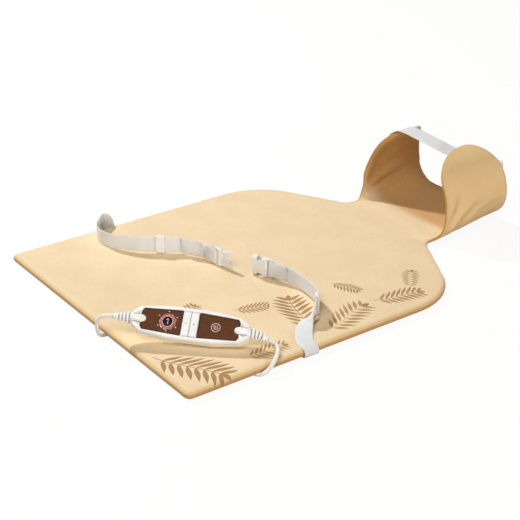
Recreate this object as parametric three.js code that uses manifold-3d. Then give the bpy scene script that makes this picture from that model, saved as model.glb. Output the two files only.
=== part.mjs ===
// Heating pad for neck and back with a collar, a waist belt and a hand controller.
// Millimetres, +Z up. The group's origin lies on the floor under the middle of the pad and collar;
// +Y runs from the hem to the collar. Inside, y is counted from the hem of the pad.
import * as THREE from 'three';
import { mergeVertices } from 'three/addons/utils/BufferGeometryUtils.js';
import Module from 'manifold-3d';

const wasm = await Module();
wasm.setup();

// General
const clearance = 0.3;
const overrun = 1;
const weldDistance = 0.001;

// Pad outline
const padWidth = 420;
const padSideLength = 336;
const shoulderRadius = 93;
const shoulderDegrees = 61;
const neckWidth = 160;
const neckFillet = 16;
const hemCornerRadius = 8;
const hemCornerLeast = 1;
const totalLength = 610;

// Pad layers
const padThickness = 12;
const padEdgeTop = 9;
const padEdgeBottom = 3;
const padSeamHeight = 6;
const coverRise = 16;
const coverTuck = 14;
const coverFlange = 7;
const coverThickness = 1.5;
const carrierThickness = 0.8;
const carrierInset = 12;
const wireDiameter = 1.2;
const wireInset = 38;
const wirePitch = 26;
const wireCorridor = 28;
const cutoutLength = 12;
const cutoutWidth = 7;
const cutoutHeight = 2.6;

// Coupling under the pad
const couplingAcrossShare = -0.82;
const couplingAlongShare = 0.508;
const socketLength = 30;
const socketWidth = 22;
const tongueLength = 11;
const tongueWidth = 15;
const tongueHeight = 2.4;
const couplerLength = 34;
const couplerWidth = 20;
const couplerHeight = 4.9;

// Collar
const collarHalfWidth = 84;
const collarThickness = 4;
const collarFloorHeight = 7;
const collarWallBack = 4;
const collarFrontRise = 20;
const collarCornerFront = 10;
const collarCornerBackLeft = 30;
const collarCornerBackRight = 52;
const collarWallTop = 45;
const lobeDepth = 70;
const lobeHeightLeft = 78;
const lobeHeightRight = 70;
const lobeDegrees = 72.5;
const lobeRoundFromShare = 0.524;
const lobeTipY = 559;
const collarHem = 7;
const collarSkin = 1.1;

// Closure strap of the collar
const closureWidth = 26;
const closureY = 536;
const closureThickness = 1.2;
const closureRootShare = 0.52;
const closureReachDegrees = 36;
const patchThickness = 0.8;
const patchGap = 0.7;
const patchDegrees = 24;

// Belt webbing, sliders and buckle
const webbingWidth = 20;
const webbingThickness = 1.2;
const tuckReach = 30;
const tuckLift = 0.35;
const pocketHeight = 1.85;
const barDiameter = 3.4;
const loopRadius = 2;
const loopLay = 22;
const sliderWall = 2;
const sliderLength = 12;
const sliderDepth = 5.4;
const sliderGap = 0.6;
const sliderStraight = 54;
const adjusterLength = 10;
const adjusterStraight = 27;
const plugWidth = 24;
const plugThickness = 4.6;
const plugBlock = 5.5;
const plugReach = 26;
const prongThickness = 3.4;
const buckleArm = 1.6;
const buckleSocketWidth = 25;
const buckleSocketThickness = 9.2;
const buckleSocketReach = 27;
const buckleMouth = 5.8;
const buckleNotch = 4;

// Controller pose: the middle of its window plane, and its turns
const controllerAcross = 123.3;
const controllerAlong = 60.9;
const controllerHeight = 37.8;
const controllerYaw = 45.1;
const controllerPitch = 3.5;
const controllerRoll = 42.5;

// Controller housing
const housingLength = 136;
const housingWidth = 40;
const housingDepth = 16;
const housingRim = 0.6;
const partingDepth = 6;
const housingWall = 2;
const housingCorner = 6;
const plateThickness = 1.2;
const windowThickness = 1.2;
const windowLength = 47.2;
const windowWidth = 30;
const windowEndWidth = 25;
const windowChamfer = 3.8;
const barWidth = 19;
const buttonLength = 29;
const buttonTravel = 0.8;
const buttonStem = 4;
const ringAcross = -26;
const ringRadius = 9.4;
const ringInner = 6.6;
const ringLobe = 0.4;
const lensRadius = 6.2;
const boardLength = 88;
const boardWidth = 27;
const boardThickness = 1.6;
const boardDepth = 9.4;
const switchSize = 6;
const switchHeight = 2.6;
const bossRadius = 3;
const bossBore = 1.4;
const screwHead = 2.1;
const screwHeadHeight = 1.8;
const screwShank = 1;
const screwLength = 9.5;
const counterboreDepth = 4.5;

// Strain reliefs of the controller
const reliefNose = 48.4;
const reliefShoulder = 69.5;
const reliefTip = 90.4;
const reliefRadius = 7.6;
const ribCount = 4;
const ribRadius = 7.2;
const ribTipRadius = 4.6;
const ribGroove = 1.6;
const reliefEndRadius = 3.2;
const reliefBend = 22;

// Cords
const cordDiameter = 4.5;
const cordSides = 8;
const grooveWidth = 5.4;
const grooveHeight = 4.95;
const cordSteps = 2;
const padCordPoints = [
  [56.1, -0.8, 38.9], [53, -3.9, 38.9], [47.8, -9, 37.2], [43.4, -12.6, 32.6], [40.9, -13.2, 26],
  [38.6, -12.3, 18.8], [36, -10.2, 12.2], [34.3, -8, 7], [33.2, -4, 3.6], [32.6, 1, 2.5], [31.6, 9, 2.35],
  [28, 22, 2.35], [18, 42, 2.35], [0, 66, 2.35], [-26, 92, 2.35], [-58, 117, 2.35], [-92, 138, 2.35],
  [-124, 154, 2.35], [-150, 168, 2.35], [-165, 182, 2.35], [-171, 195, 2.35], [-172.2, 205.6, 2.35],
];
const mainsCordPoints = [
  [186.1, 125.3, 25], [190.1, 127.4, 23.5], [194.2, 129.3, 21.7], [199.8, 127.9, 19.4], [205.8, 122.7, 17.6],
  [211.3, 115.4, 14], [214.4, 106.4, 8.8], [213.7, 100.3, 5], [211, 95, 2.65], [205.6, 91.4, 2.4],
  [198.5, 90.4, 2.35], [189.5, 92.6, 2.35], [180, 100, 2.35], [170, 113, 2.35], [159, 133, 2.35],
  [146, 164, 2.35],
  [132, 205, 2.35], [117, 255, 2.35], [102, 310, 2.35], [87, 365, 2.35], [72, 415, 2.35], [57, 462, 2.35],
  [43, 505, 2.35], [30, 545, 2.35], [20, 585, 2.35], [14.6, 616, 2.6], [13.1, 631, 3], [11.9, 640.2, 3.3],
  [10.94, 646.1, 3.35], [10.14, 651.26, 3.35],
];

// Coil of the mains cord, its tie and plug
const coilX = -24;
const coilY = 656;
const coilRadius = 33.4;
const coilGap = 0.6;
const coilTurns = 2.825;
const coilSteps = 24;
const coilSides = 6;
const coilLead = 4.5;
const tieThickness = 0.8;
const tieWidth = 6;
const tieDegrees = 205;
const tailLength = 24;
const plugBodyLength = 40;
const plugBodyWidth = 35;
const plugBodyHeight = 13.6;
const plugReliefLength = 20;
const pinSpacing = 18.6;
const pinDiameter = 4;
const pinLength = 19;

const halfPad = padWidth / 2;
const quarterTurn = Math.PI / 2;
const radians = THREE.MathUtils.degToRad;
const shoulderTurn = radians(shoulderDegrees);
const up = new THREE.Vector3(0, 0, 1);
const alongY = new THREE.Vector3(0, 1, 0);

// Materials
function finish(color, roughness, metalness = 0) {
  return new THREE.MeshStandardMaterial({ color, roughness, metalness });
}
const creamFabric = finish(0xf2d7a8, 0.95);
const undersideFabric = finish(0xd8c9a8, 0.95);
const innerFabric = finish(0xb98d52, 0.95);
const wadding = finish(0xf4f1e6, 1);
const carrierFelt = finish(0xe8e0cc, 1);
const wireFinish = finish(0xb04a3a, 0.6);
const whiteWebbing = finish(0xeeeeea, 0.8);
const whitePlastic = finish(0xf4f3ef, 0.35);
const brownPanel = finish(0x5c3a20, 0.25);
const redRing = finish(0xc42020, 0.35);
const clearLens = finish(0x6a4426, 0.1);
const boardGreen = finish(0x2f6b3a, 0.5);
const blackPlastic = finish(0x222222, 0.5);
const steel = finish(0xb8b8b8, 0.3, 1);
const brass = finish(0xc9a65a, 0.3, 1);
const cordJacket = finish(0xefe9dc, 0.5);

// Solids: welding, signed volume, joining and cutting
function signedVolume(geometry) {
  const place = geometry.attributes.position;
  const corners = geometry.index.array;
  const a = new THREE.Vector3();
  const b = new THREE.Vector3();
  const c = new THREE.Vector3();
  let sum = 0;
  for (let i = 0; i < corners.length; i += 3) {
    a.fromBufferAttribute(place, corners[i]);
    b.fromBufferAttribute(place, corners[i + 1]);
    c.fromBufferAttribute(place, corners[i + 2]);
    sum += a.dot(b.cross(c));
  }
  return sum;
}

function weld(geometry) {
  geometry.deleteAttribute('normal');
  geometry.deleteAttribute('uv');
  const solid = mergeVertices(geometry, weldDistance);
  if (signedVolume(solid) < 0) {
    const corners = solid.index.array;
    for (let i = 0; i < corners.length; i += 3) {
      [corners[i], corners[i + 1]] = [corners[i + 1], corners[i]];
    }
  }
  return solid;
}

function toSolid(geometry) {
  const shape = weld(geometry);
  const vertProperties = new Float32Array(shape.attributes.position.array);
  const triVerts = new Uint32Array(shape.index.array);
  return new wasm.Manifold(new wasm.Mesh({ numProp: 3, vertProperties, triVerts }));
}

function toGeometry(solid) {
  const mesh = solid.getMesh();
  const geometry = new THREE.BufferGeometry();
  geometry.setAttribute('position', new THREE.BufferAttribute(new Float32Array(mesh.vertProperties), 3));
  geometry.setIndex(Array.from(mesh.triVerts));
  return geometry;
}

function cut(geometry, cutters) {
  let solid = toSolid(geometry);
  for (const cutter of cutters) {
    solid = solid.subtract(toSolid(cutter));
  }
  return toGeometry(solid);
}

function join(pieces) {
  let solid = toSolid(pieces[0]);
  for (const piece of pieces.slice(1)) {
    solid = solid.add(toSolid(piece));
  }
  return toGeometry(solid);
}

// Caps: a fan for convex rings, a triangulation for level outlines
function fanCap(ring) {
  const triangles = [];
  for (let i = 1; i + 1 < ring.length; i += 1) {
    triangles.push([0, i, i + 1]);
  }
  return triangles;
}

function levelCap(ring) {
  const outline = ring.map((point) => new THREE.Vector2(point.x, point.y));
  const turn = Math.sign(THREE.ShapeUtils.area(outline));
  return THREE.ShapeUtils.triangulateShape(outline, []).map(([a, b, c]) => {
    const side = THREE.ShapeUtils.area([outline[a], outline[b], outline[c]]);
    return Math.sign(side) === turn ? [a, b, c] : [a, c, b];
  });
}

// A closed body through rings of equal count
function loft(rings, cap) {
  const sides = rings[0].length;
  const place = rings.flat().flatMap((point) => [point.x, point.y, point.z]);
  const corners = [];
  for (let r = 0; r + 1 < rings.length; r += 1) {
    for (let s = 0; s < sides; s += 1) {
      const a = r * sides + s;
      const b = r * sides + ((s + 1) % sides);
      corners.push(a, b, b + sides, a, b + sides, a + sides);
    }
  }
  const lastRing = (rings.length - 1) * sides;
  for (const [a, b, c] of cap(rings[0])) {
    corners.push(a, c, b);
  }
  for (const [a, b, c] of cap(rings[rings.length - 1])) {
    corners.push(lastRing + a, lastRing + b, lastRing + c);
  }
  const geometry = new THREE.BufferGeometry();
  geometry.setAttribute('position', new THREE.BufferAttribute(new Float32Array(place), 3));
  geometry.setIndex(corners);
  return geometry;
}

// A body whose level outlines are given as [inset, height] pairs
function stack(outlineAt, levels) {
  const rings = levels.map(([inset, z]) => outlineAt(inset).map((p) => new THREE.Vector3(p.x, p.y, z)));
  return loft(rings, levelCap);
}

// The body between two sheets of points, row by row
function between(low, high) {
  const rows = low.length;
  const columns = low[0].length;
  const place = [...low.flat(), ...high.flat()].flatMap((point) => [point.x, point.y, point.z]);
  const lowAt = (i, j) => i * columns + j;
  const highAt = (i, j) => rows * columns + i * columns + j;
  const corners = [];
  const quad = (a, b, c, d) => corners.push(a, b, c, a, c, d);
  for (let i = 0; i + 1 < rows; i += 1) {
    for (let j = 0; j + 1 < columns; j += 1) {
      quad(lowAt(i, j), lowAt(i, j + 1), lowAt(i + 1, j + 1), lowAt(i + 1, j));
      quad(highAt(i, j), highAt(i + 1, j), highAt(i + 1, j + 1), highAt(i, j + 1));
    }
    const end = columns - 1;
    quad(lowAt(i, 0), lowAt(i + 1, 0), highAt(i + 1, 0), highAt(i, 0));
    quad(lowAt(i + 1, end), lowAt(i, end), highAt(i, end), highAt(i + 1, end));
  }
  for (let j = 0; j + 1 < columns; j += 1) {
    const end = rows - 1;
    quad(lowAt(0, j + 1), lowAt(0, j), highAt(0, j), highAt(0, j + 1));
    quad(lowAt(end, j), lowAt(end, j + 1), highAt(end, j + 1), highAt(end, j));
  }
  const geometry = new THREE.BufferGeometry();
  geometry.setAttribute('position', new THREE.BufferAttribute(new Float32Array(place), 3));
  geometry.setIndex(corners);
  return geometry;
}

// Level outlines
function addArc(points, centreX, centreY, radius, from, to, steps) {
  for (let i = 0; i <= steps; i += 1) {
    const angle = from + ((to - from) * i) / steps;
    points.push(new THREE.Vector2(centreX + radius * Math.cos(angle), centreY + radius * Math.sin(angle)));
  }
}

function mirrored(rightHalf) {
  const leftHalf = rightHalf.map((point) => new THREE.Vector2(-point.x, point.y)).reverse();
  return [...rightHalf, ...leftHalf];
}

// A counter-clockwise polygon, moved inward by the inset, with its corners rounded
function roundedOutline(corners, radius, inset, steps) {
  const count = corners.length;
  const heading = corners.map((corner, i) => corners[(i + 1) % count].clone().sub(corner).normalize());
  const inward = heading.map((d) => new THREE.Vector2(-d.y, d.x));
  const moved = corners.map((corner, i) => {
    const before = (i + count - 1) % count;
    const lean = inward[before].clone().add(inward[i]);
    return corner.clone().addScaledVector(lean, inset / (1 + inward[before].dot(inward[i])));
  });
  const points = [];
  for (let i = 0; i < count; i += 1) {
    const before = (i + count - 1) % count;
    const turn = Math.atan2(heading[before].cross(heading[i]), heading[before].dot(heading[i]));
    const side = Math.sign(turn);
    const reach = Math.min(moved[i].distanceTo(moved[before]), moved[i].distanceTo(moved[(i + 1) % count]));
    const slope = Math.tan(Math.abs(turn) / 2);
    const wanted = Math.max(radius - side * inset, weldDistance * radius);
    const used = Math.min(wanted, (reach * filletShare) / slope);
    const start = moved[i].clone().addScaledVector(heading[before], -used * slope);
    const centre = start.clone().addScaledVector(inward[before], side * used);
    const from = Math.atan2(-side * inward[before].y, -side * inward[before].x);
    addArc(points, centre.x, centre.y, used, from, from + turn, steps);
  }
  return points;
}
const filletShare = 0.48;

function rectangle(width, length) {
  const x = width / 2;
  const y = length / 2;
  return [[-x, -y], [x, -y], [x, y], [-x, y]].map(([a, b]) => new THREE.Vector2(a, b));
}

function polygon(points) {
  return points.map(([x, y]) => new THREE.Vector2(x, y));
}

function prism(points, bottom, top) {
  const geometry = new THREE.ExtrudeGeometry(new THREE.Shape(points), {
    depth: top - bottom,
    bevelEnabled: false,
  });
  return geometry.translate(0, 0, bottom);
}

function box(x0, x1, y0, y1, z0, z1) {
  const geometry = new THREE.BoxGeometry(x1 - x0, y1 - y0, z1 - z0);
  return geometry.translate((x0 + x1) / 2, (y0 + y1) / 2, (z0 + z1) / 2);
}

// Turned bodies: profile points are [radius, height], and the axis is Z
function turned(profile, segments) {
  const points = profile.map(([radius, height]) => new THREE.Vector2(radius, height));
  return new THREE.LatheGeometry(points, segments).rotateX(quarterTurn);
}

function rod(radius, bottom, top, segments) {
  return turned([[0, bottom], [radius, bottom], [radius, top], [0, top]], segments);
}

// Pad outline at an inset from its edge, seen from above
function padOutline(inset) {
  const half = halfPad - inset;
  const cornerRadius = Math.max(hemCornerRadius - inset, hemCornerLeast);
  const centreX = halfPad - shoulderRadius;
  const neck = neckCorner();
  const stop = Math.PI + Math.asin(inset / (neckFillet + inset));
  const right = [];
  addArc(right, half - cornerRadius, inset + cornerRadius, cornerRadius, -quarterTurn, 0, cornerSteps);
  addArc(right, centreX, padSideLength, shoulderRadius - inset, 0, shoulderTurn, shoulderSteps);
  addArc(right, neck.x, neck.y, neckFillet + inset, Math.PI + shoulderTurn, stop, cornerSteps);
  return mirrored(right);
}
const cornerSteps = 4;
const shoulderSteps = 8;

// Centre of the fillet between shoulder and neck; its height is the neck seam
function neckCorner() {
  const arcEndX = halfPad - shoulderRadius + shoulderRadius * Math.cos(shoulderTurn);
  const arcEndY = padSideLength + shoulderRadius * Math.sin(shoulderTurn);
  const x = neckWidth / 2 + neckFillet;
  const run = (arcEndX + neckFillet * Math.cos(shoulderTurn) - x) / Math.sin(shoulderTurn);
  const y = arcEndY + run * Math.cos(shoulderTurn) + neckFillet * Math.sin(shoulderTurn);
  return new THREE.Vector2(x, y);
}
const neckSeam = neckCorner().y;

// Half width of the pad at a distance from the hem
function halfWidthAt(y) {
  const rise = Math.max(y - padSideLength, 0);
  const arcTop = shoulderRadius * Math.sin(shoulderTurn);
  const centreX = halfPad - shoulderRadius;
  if (rise < arcTop) {
    return centreX + Math.sqrt(shoulderRadius ** 2 - rise ** 2);
  }
  const arcEndX = centreX + shoulderRadius * Math.cos(shoulderTurn);
  return arcEndX - (rise - arcTop) * Math.tan(shoulderTurn);
}

const couplingX = halfPad * couplingAcrossShare;
const couplingY = neckSeam * couplingAlongShare;
const coverBottomTop = padSeamHeight - clearance / 2;
const carrierBottom = padSeamHeight + clearance / 2;
const carrierTop = carrierBottom + carrierThickness;
const wireBottom = carrierTop + clearance;
const wireHeight = wireBottom + wireDiameter / 2;
const waddingBottom = wireBottom + wireDiameter + clearance;
const coverUnder = padThickness - coverThickness;
const waddingTop = coverUnder - clearance;

function padTopCover() {
  const cavityEdge = coverFlange + overrun;
  return stack(padOutline, [
    [coverRise, padThickness],
    [coverRise * 0.55, padThickness - coverThickness * 0.4],
    [coverRise * 0.18, padEdgeTop + (padThickness - padEdgeTop) * 0.4],
    [0, padEdgeTop],
    [0, carrierBottom],
    [coverFlange, carrierBottom],
    [cavityEdge, coverUnder],
  ]);
}

function padBottomCover() {
  const slab = stack(padOutline, [
    [coverTuck, 0],
    [coverTuck * 0.4, padEdgeBottom * 0.3],
    [0, padEdgeBottom],
    [0, coverBottomTop],
  ]);
  const pocketHalf = socketWidth / 2 + clearance * 2;
  const pocketStart = couplingY - couplerLength - clearance * 4;
  const pocketEnd = couplingY + socketLength + clearance * 2;
  return cut(slab, [
    box(couplingX - pocketHalf, couplingX + pocketHalf, pocketStart, pocketEnd, -overrun, padSeamHeight),
    cordGroove(padCordPoints, pocketEnd),
    cordGroove(mainsCordPoints, neckSeam + socketWidth),
    tuckPocket(-1, leftTuckY),
    tuckPocket(1, rightTuckY),
  ]);
}

// A groove over the floor that follows the level run of a cord below the pad
function cordGroove(points, stopY) {
  const run = cordLine(points).filter((p) => p.z < grooveHeight && p.y < stopY);
  const left = [];
  const right = [];
  for (let i = 0; i < run.length; i += 1) {
    const before = run[Math.max(i - 1, 0)];
    const after = run[Math.min(i + 1, run.length - 1)];
    const along = new THREE.Vector2(after.x - before.x, after.y - before.y).normalize();
    const offset = new THREE.Vector2(-along.y, along.x).multiplyScalar(grooveWidth / 2);
    left.push(new THREE.Vector2(run[i].x + offset.x, run[i].y + offset.y));
    right.push(new THREE.Vector2(run[i].x - offset.x, run[i].y - offset.y));
  }
  return prism([...right, ...left.reverse()], -overrun, grooveHeight);
}

function tuckPocket(side, y) {
  const half = webbingWidth / 2 + clearance * 2;
  const edge = halfPad - tuckReach - clearance * 2;
  const x0 = side > 0 ? edge : -halfPad - overrun;
  const x1 = side > 0 ? halfPad + overrun : -edge;
  return box(x0, x1, y - half, y + half, -overrun, pocketHeight);
}

function socketWindow(bottom, top) {
  const half = socketWidth / 2 + clearance * 2;
  const gap = clearance * 2;
  return box(couplingX - half, couplingX + half, couplingY - gap, couplingY + socketLength + gap, bottom, top);
}

function heatingCarrier() {
  const felt = stack(padOutline, [[carrierInset, carrierBottom], [carrierInset, carrierTop]]);
  return cut(felt, [socketWindow(padSeamHeight - overrun, wireHeight)]);
}

function upperWadding() {
  const inset = coverFlange + overrun + clearance * 4;
  const sheet = stack(padOutline, [[inset, waddingBottom], [inset, waddingTop]]);
  const half = cutoutWidth / 2 + clearance * 2;
  const reach = cutoutLength / 2 + clearance * 2;
  const windows = cutoutPlaces().map(([x, y]) =>
    box(x - reach, x + reach, y - half, y + half, wireBottom, padThickness));
  return cut(sheet, windows);
}

// Heating wire: lanes across the pad, led back to the coupling socket along the left side
function wireCorners() {
  const lanes = 2 * Math.floor((neckSeam - 2 * wireInset) / wirePitch / 2);
  const corners = [new THREE.Vector2(couplingX, couplingY - clearance)];
  corners.push(new THREE.Vector2(couplingX, wireInset));
  for (let lane = 0; lane < lanes; lane += 2) {
    const low = wireInset + lane * wirePitch;
    const high = low + wirePitch;
    const next = high + wirePitch;
    const right = halfWidthAt(high) - wireInset;
    corners.push(new THREE.Vector2(right, low), new THREE.Vector2(right, high));
    if (lane + 2 < lanes) {
      const left = wireInset + wireCorridor - halfWidthAt(next);
      corners.push(new THREE.Vector2(left, high), new THREE.Vector2(left, next));
    }
  }
  const topLane = wireInset + (lanes - 1) * wirePitch;
  const shoulderLow = padSideLength + shoulderRadius / 2;
  corners.push(new THREE.Vector2(wireInset - halfWidthAt(topLane), topLane));
  corners.push(new THREE.Vector2(wireInset - halfWidthAt(shoulderLow), shoulderLow));
  corners.push(new THREE.Vector2(couplingX, padSideLength));
  corners.push(new THREE.Vector2(couplingX, couplingY + socketLength + clearance));
  return corners;
}

function filletedPath(corners, radius, steps) {
  const points = [corners[0]];
  for (let i = 1; i + 1 < corners.length; i += 1) {
    const before = corners[i].clone().sub(corners[i - 1]);
    const after = corners[i + 1].clone().sub(corners[i]);
    const shortest = Math.min(before.length(), after.length());
    before.normalize();
    after.normalize();
    const turn = Math.atan2(before.cross(after), before.dot(after));
    const slope = Math.tan(Math.abs(turn) / 2);
    const used = Math.min(radius, (shortest * filletShare) / slope);
    const start = corners[i].clone().addScaledVector(before, -used * slope);
    const inward = new THREE.Vector2(-before.y, before.x).multiplyScalar(Math.sign(turn));
    const centre = start.clone().addScaledVector(inward, used);
    const from = Math.atan2(-inward.y, -inward.x);
    addArc(points, centre.x, centre.y, used, from, from + turn, steps);
  }
  points.push(corners[corners.length - 1]);
  return points;
}

function roundSection(radius, sides) {
  const points = [];
  for (let i = 0; i < sides; i += 1) {
    const angle = ((i + 0.5) * 2 * Math.PI) / sides;
    points.push(new THREE.Vector2(radius * Math.cos(angle), radius * Math.sin(angle)));
  }
  return points;
}

// Sweeps a section along points, each with its own side and lift directions
function sweep(stations, section) {
  const rings = stations.map(({ at, side, lift }) =>
    section.map((q) => at.clone().addScaledVector(side, q.x).addScaledVector(lift, q.y)));
  return loft(rings, fanCap);
}

function tangents(points) {
  return points.map((point, i) => {
    const before = points[Math.max(i - 1, 0)];
    const after = points[Math.min(i + 1, points.length - 1)];
    return after.clone().sub(before).normalize();
  });
}

function heatingWire() {
  const path = filletedPath(wireCorners(), wirePitch / 2, wireBendSteps);
  return roundTube(path.map((p) => new THREE.Vector3(p.x, p.y, wireHeight)), wireDiameter, wireSides);
}
const wireBendSteps = 3;
const wireSides = 4;

function cutoutPlaces() {
  const y = wireInset + wirePitch / 2;
  return [[-halfPad / 3, y + wirePitch * 4], [halfPad / 3, y + wirePitch * 8]];
}

function thermalCutout([x, y]) {
  const outlineAt = (inset) => roundedOutline(rectangle(cutoutLength, cutoutWidth), overrun, inset, 2);
  const top = wireBottom + cutoutHeight;
  const geometry = stack(outlineAt, [
    [0, wireBottom],
    [0, top - clearance],
    [clearance, top],
  ]);
  return geometry.translate(x, y, 0);
}

// Coupling between pad and cord: a socket in the pad and a flat coupler on the cord
function couplingSocket() {
  const outlineAt = (inset) => roundedOutline(rectangle(socketWidth, socketLength), 3, inset, 2);
  const bottom = clearance * 2;
  const top = wireHeight + wireDiameter / 2;
  const body = stack(outlineAt, [
    [1, bottom],
    [0, bottom + 1],
    [0, top - 1],
    [1, top],
  ]).translate(0, socketLength / 2, 0);
  const half = tongueWidth / 2 + clearance;
  const middle = bottom + couplerHeight / 2;
  const rise = tongueHeight / 2 + clearance;
  const mouth = box(-half, half, -overrun, tongueLength + clearance, middle - rise, middle + rise);
  return cut(body, [mouth]).translate(couplingX, couplingY, 0);
}

function couplingPlug() {
  const bottom = clearance * 2;
  const middle = bottom + couplerHeight / 2;
  const half = couplerHeight / 2;
  const sectionAt = (width, height, y) =>
    roundedOutline(rectangle(width, height), height / 4, 0, 2).map((p) => new THREE.Vector3(p.x, y, p.y));
  const end = -couplerLength;
  const waist = end * 0.45;
  const body = loft([
    sectionAt(couplerWidth * 0.4, half * 1.7, end),
    sectionAt(couplerWidth * 0.7, couplerHeight * 0.95, end * 0.85),
    sectionAt(couplerWidth * 0.86, couplerHeight * 0.9, waist),
    sectionAt(couplerWidth, couplerHeight, waist * 0.6),
    sectionAt(couplerWidth, couplerHeight, -clearance),
  ], fanCap);
  const tongue = box(-tongueWidth / 2, tongueWidth / 2, -overrun, tongueLength,
    -tongueHeight / 2, tongueHeight / 2);
  return join([body, tongue]).translate(couplingX, couplingY, middle);
}

// Collar: a padded band whose section rises from a flat floor into two curled lobes
const lobeSpan = radians(lobeDegrees);

function collarCorner(side, y) {
  const back = side > 0 ? collarCornerBackRight : collarCornerBackLeft;
  const share = (y - neckSeam) / (totalLength - neckSeam);
  return collarCornerFront + (back - collarCornerFront) * share;
}

// A station is [side, zone, share]; it gives a place in the section and the outward direction
function collarPoint([side, zone, share], y) {
  const corner = collarCorner(side, y);
  const rise = Math.min(corner, collarWallTop - collarFloorHeight - overrun);
  const angle = share * quarterTurn;
  const lobeHeight = side > 0 ? lobeHeightRight : lobeHeightLeft;
  const turn = share * lobeSpan;
  const wallBottom = collarFloorHeight + rise;
  if (zone === 'floor') {
    return [share * (collarHalfWidth - corner), collarFloorHeight, 0, -1];
  }
  if (zone === 'corner') {
    const x = collarHalfWidth - corner + corner * Math.sin(angle);
    return [x, collarFloorHeight + rise * (1 - Math.cos(angle)), Math.sin(angle), -Math.cos(angle)];
  }
  if (zone === 'wall') {
    return [collarHalfWidth, wallBottom + share * (collarWallTop - wallBottom), 1, 0];
  }
  const x = collarHalfWidth - lobeDepth * (1 - Math.cos(turn));
  const z = collarWallTop + lobeHeight * Math.sin(turn);
  const normal = new THREE.Vector2(Math.cos(turn) / lobeDepth, Math.sin(turn) / lobeHeight).normalize();
  return [x, z, normal.x, normal.y];
}

// Front and back edges of the band at a station
function collarEdges([, zone, share]) {
  const corner = collarCornerFront;
  const floorFront = neckSeam + clearance;
  const wallFront = neckSeam + collarFrontRise;
  const reach = neckWidth / 2 + collarFrontRise;
  const flatCorner = collarHalfWidth - corner;
  const wallStart = collarFloorHeight + corner;
  let across = share * flatCorner;
  if (zone === 'corner') {
    across = flatCorner + share * quarterTurn * corner;
  } else if (zone !== 'floor') {
    const wallShare = zone === 'wall' ? share : 1;
    across = flatCorner + quarterTurn * corner + wallShare * (collarWallTop - wallStart);
  }
  const off = THREE.MathUtils.clamp(reach - across, 0, collarFrontRise);
  const front = floorFront + (wallFront - floorFront) * Math.sqrt(1 - (off / collarFrontRise) ** 2);
  const back = zone === 'floor' ? totalLength : totalLength - collarWallBack * backDrop(zone, share);
  if (zone !== 'lobe' || share < lobeRoundFromShare) {
    return [front, back];
  }
  const q = (share - lobeRoundFromShare) / (1 - lobeRoundFromShare);
  const open = (1 - q ** lobeRoundPower) ** lobeRoundRoot;
  return [lobeTipY + (front - lobeTipY) * open, lobeTipY + (back - lobeTipY) * open];
}
const lobeRoundPower = 1.8;
const lobeRoundRoot = 0.79;

function backDrop(zone, share) {
  return zone === 'corner' ? share : 1;
}

function collarStations() {
  const oneSide = (side) => [
    ...cornerShares.map((share) => [side, 'corner', share]),
    ...wallShares.map((share) => [side, 'wall', share]),
    ...lobeShares.map((share) => [side, 'lobe', share]),
  ];
  const floor = floorShares.map((share) => [1, 'floor', share]);
  return [...oneSide(-1).reverse(), ...floor, ...oneSide(1)];
}
const floorShares = [-0.5, 0, 0.5];
const cornerShares = [0, 0.25, 0.5, 0.75, 1];
const wallShares = [0.6, 1];
const lobeShares = [0.17, 0.35, 0.524, 0.65, 0.76, 0.86, 0.93, 0.97, 0.99];
const collarColumns = 6;

// The sheet of points at a depth below the outer side, held back from the edges by a hem
function collarSheet(depth, hem) {
  const offset = collarThickness / 2 - depth;
  const tipShare = 1 - hem / (lobeSpan * lobeDepth);
  return collarStations().map(([side, zone, share]) => {
    const station = [side, zone, zone === 'lobe' ? Math.min(share, share * tipShare) : share];
    const [front, back] = collarEdges([side, zone, share]);
    const middle = (front + back) / 2;
    const low = Math.min(front + hem, middle - hemRemnant);
    const high = Math.max(back - hem, middle + hemRemnant);
    const row = [];
    for (let j = 0; j <= collarColumns; j += 1) {
      const y = low + ((high - low) * j) / collarColumns;
      const [x, z, nx, nz] = collarPoint(station, y);
      row.push(new THREE.Vector3(side * (x + nx * offset), y, z + nz * offset));
    }
    return row;
  });
}
const hemRemnant = 0.8;
const hemClearance = 1.2;

function collarLayer(from, to, hem) {
  return between(collarSheet(from, hem), collarSheet(to, hem));
}

function collarOuterCover() {
  const band = collarLayer(0, collarThickness, 0);
  return cut(band, [collarLayer(collarSkin, collarThickness + overrun, collarHem)]);
}

function collarWadding() {
  const inner = collarThickness - collarSkin - clearance;
  return collarLayer(collarSkin + clearance, inner, collarHem + hemClearance);
}

function collarInnerCover() {
  return collarLayer(collarThickness - collarSkin, collarThickness, collarHem + hemClearance);
}

// Closure strap: sewn to the left lobe, free across the gap, held inside the right lobe
function lobePoint(side, degrees, offset) {
  const [x, z, nx, nz] = collarPoint([side, 'lobe', degrees / lobeDegrees], lobeTipY);
  return new THREE.Vector3(side * (x + nx * offset), closureY, z + nz * offset);
}

function flatSection(width, thickness) {
  const x = width / 2;
  const y = thickness / 2;
  return [[-x, -y], [x, -y], [x, y], [-x, y]].map(([a, b]) => new THREE.Vector2(a, b));
}

function ribbon(rows, width, thickness) {
  const heading = tangents(rows.map((row) => row.at));
  const stations = rows.map(({ at, edge }, i) => {
    const face = heading[i].clone().cross(edge).normalize();
    const side = face.clone().cross(heading[i]).normalize();
    return { at, side, lift: face };
  });
  return sweep(stations, flatSection(width, thickness));
}

function closureRows(points) {
  return points.map((at) => ({ at, edge: alongY }));
}

const closureOffset = collarThickness / 2 + clearance + closureThickness / 2;

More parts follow.
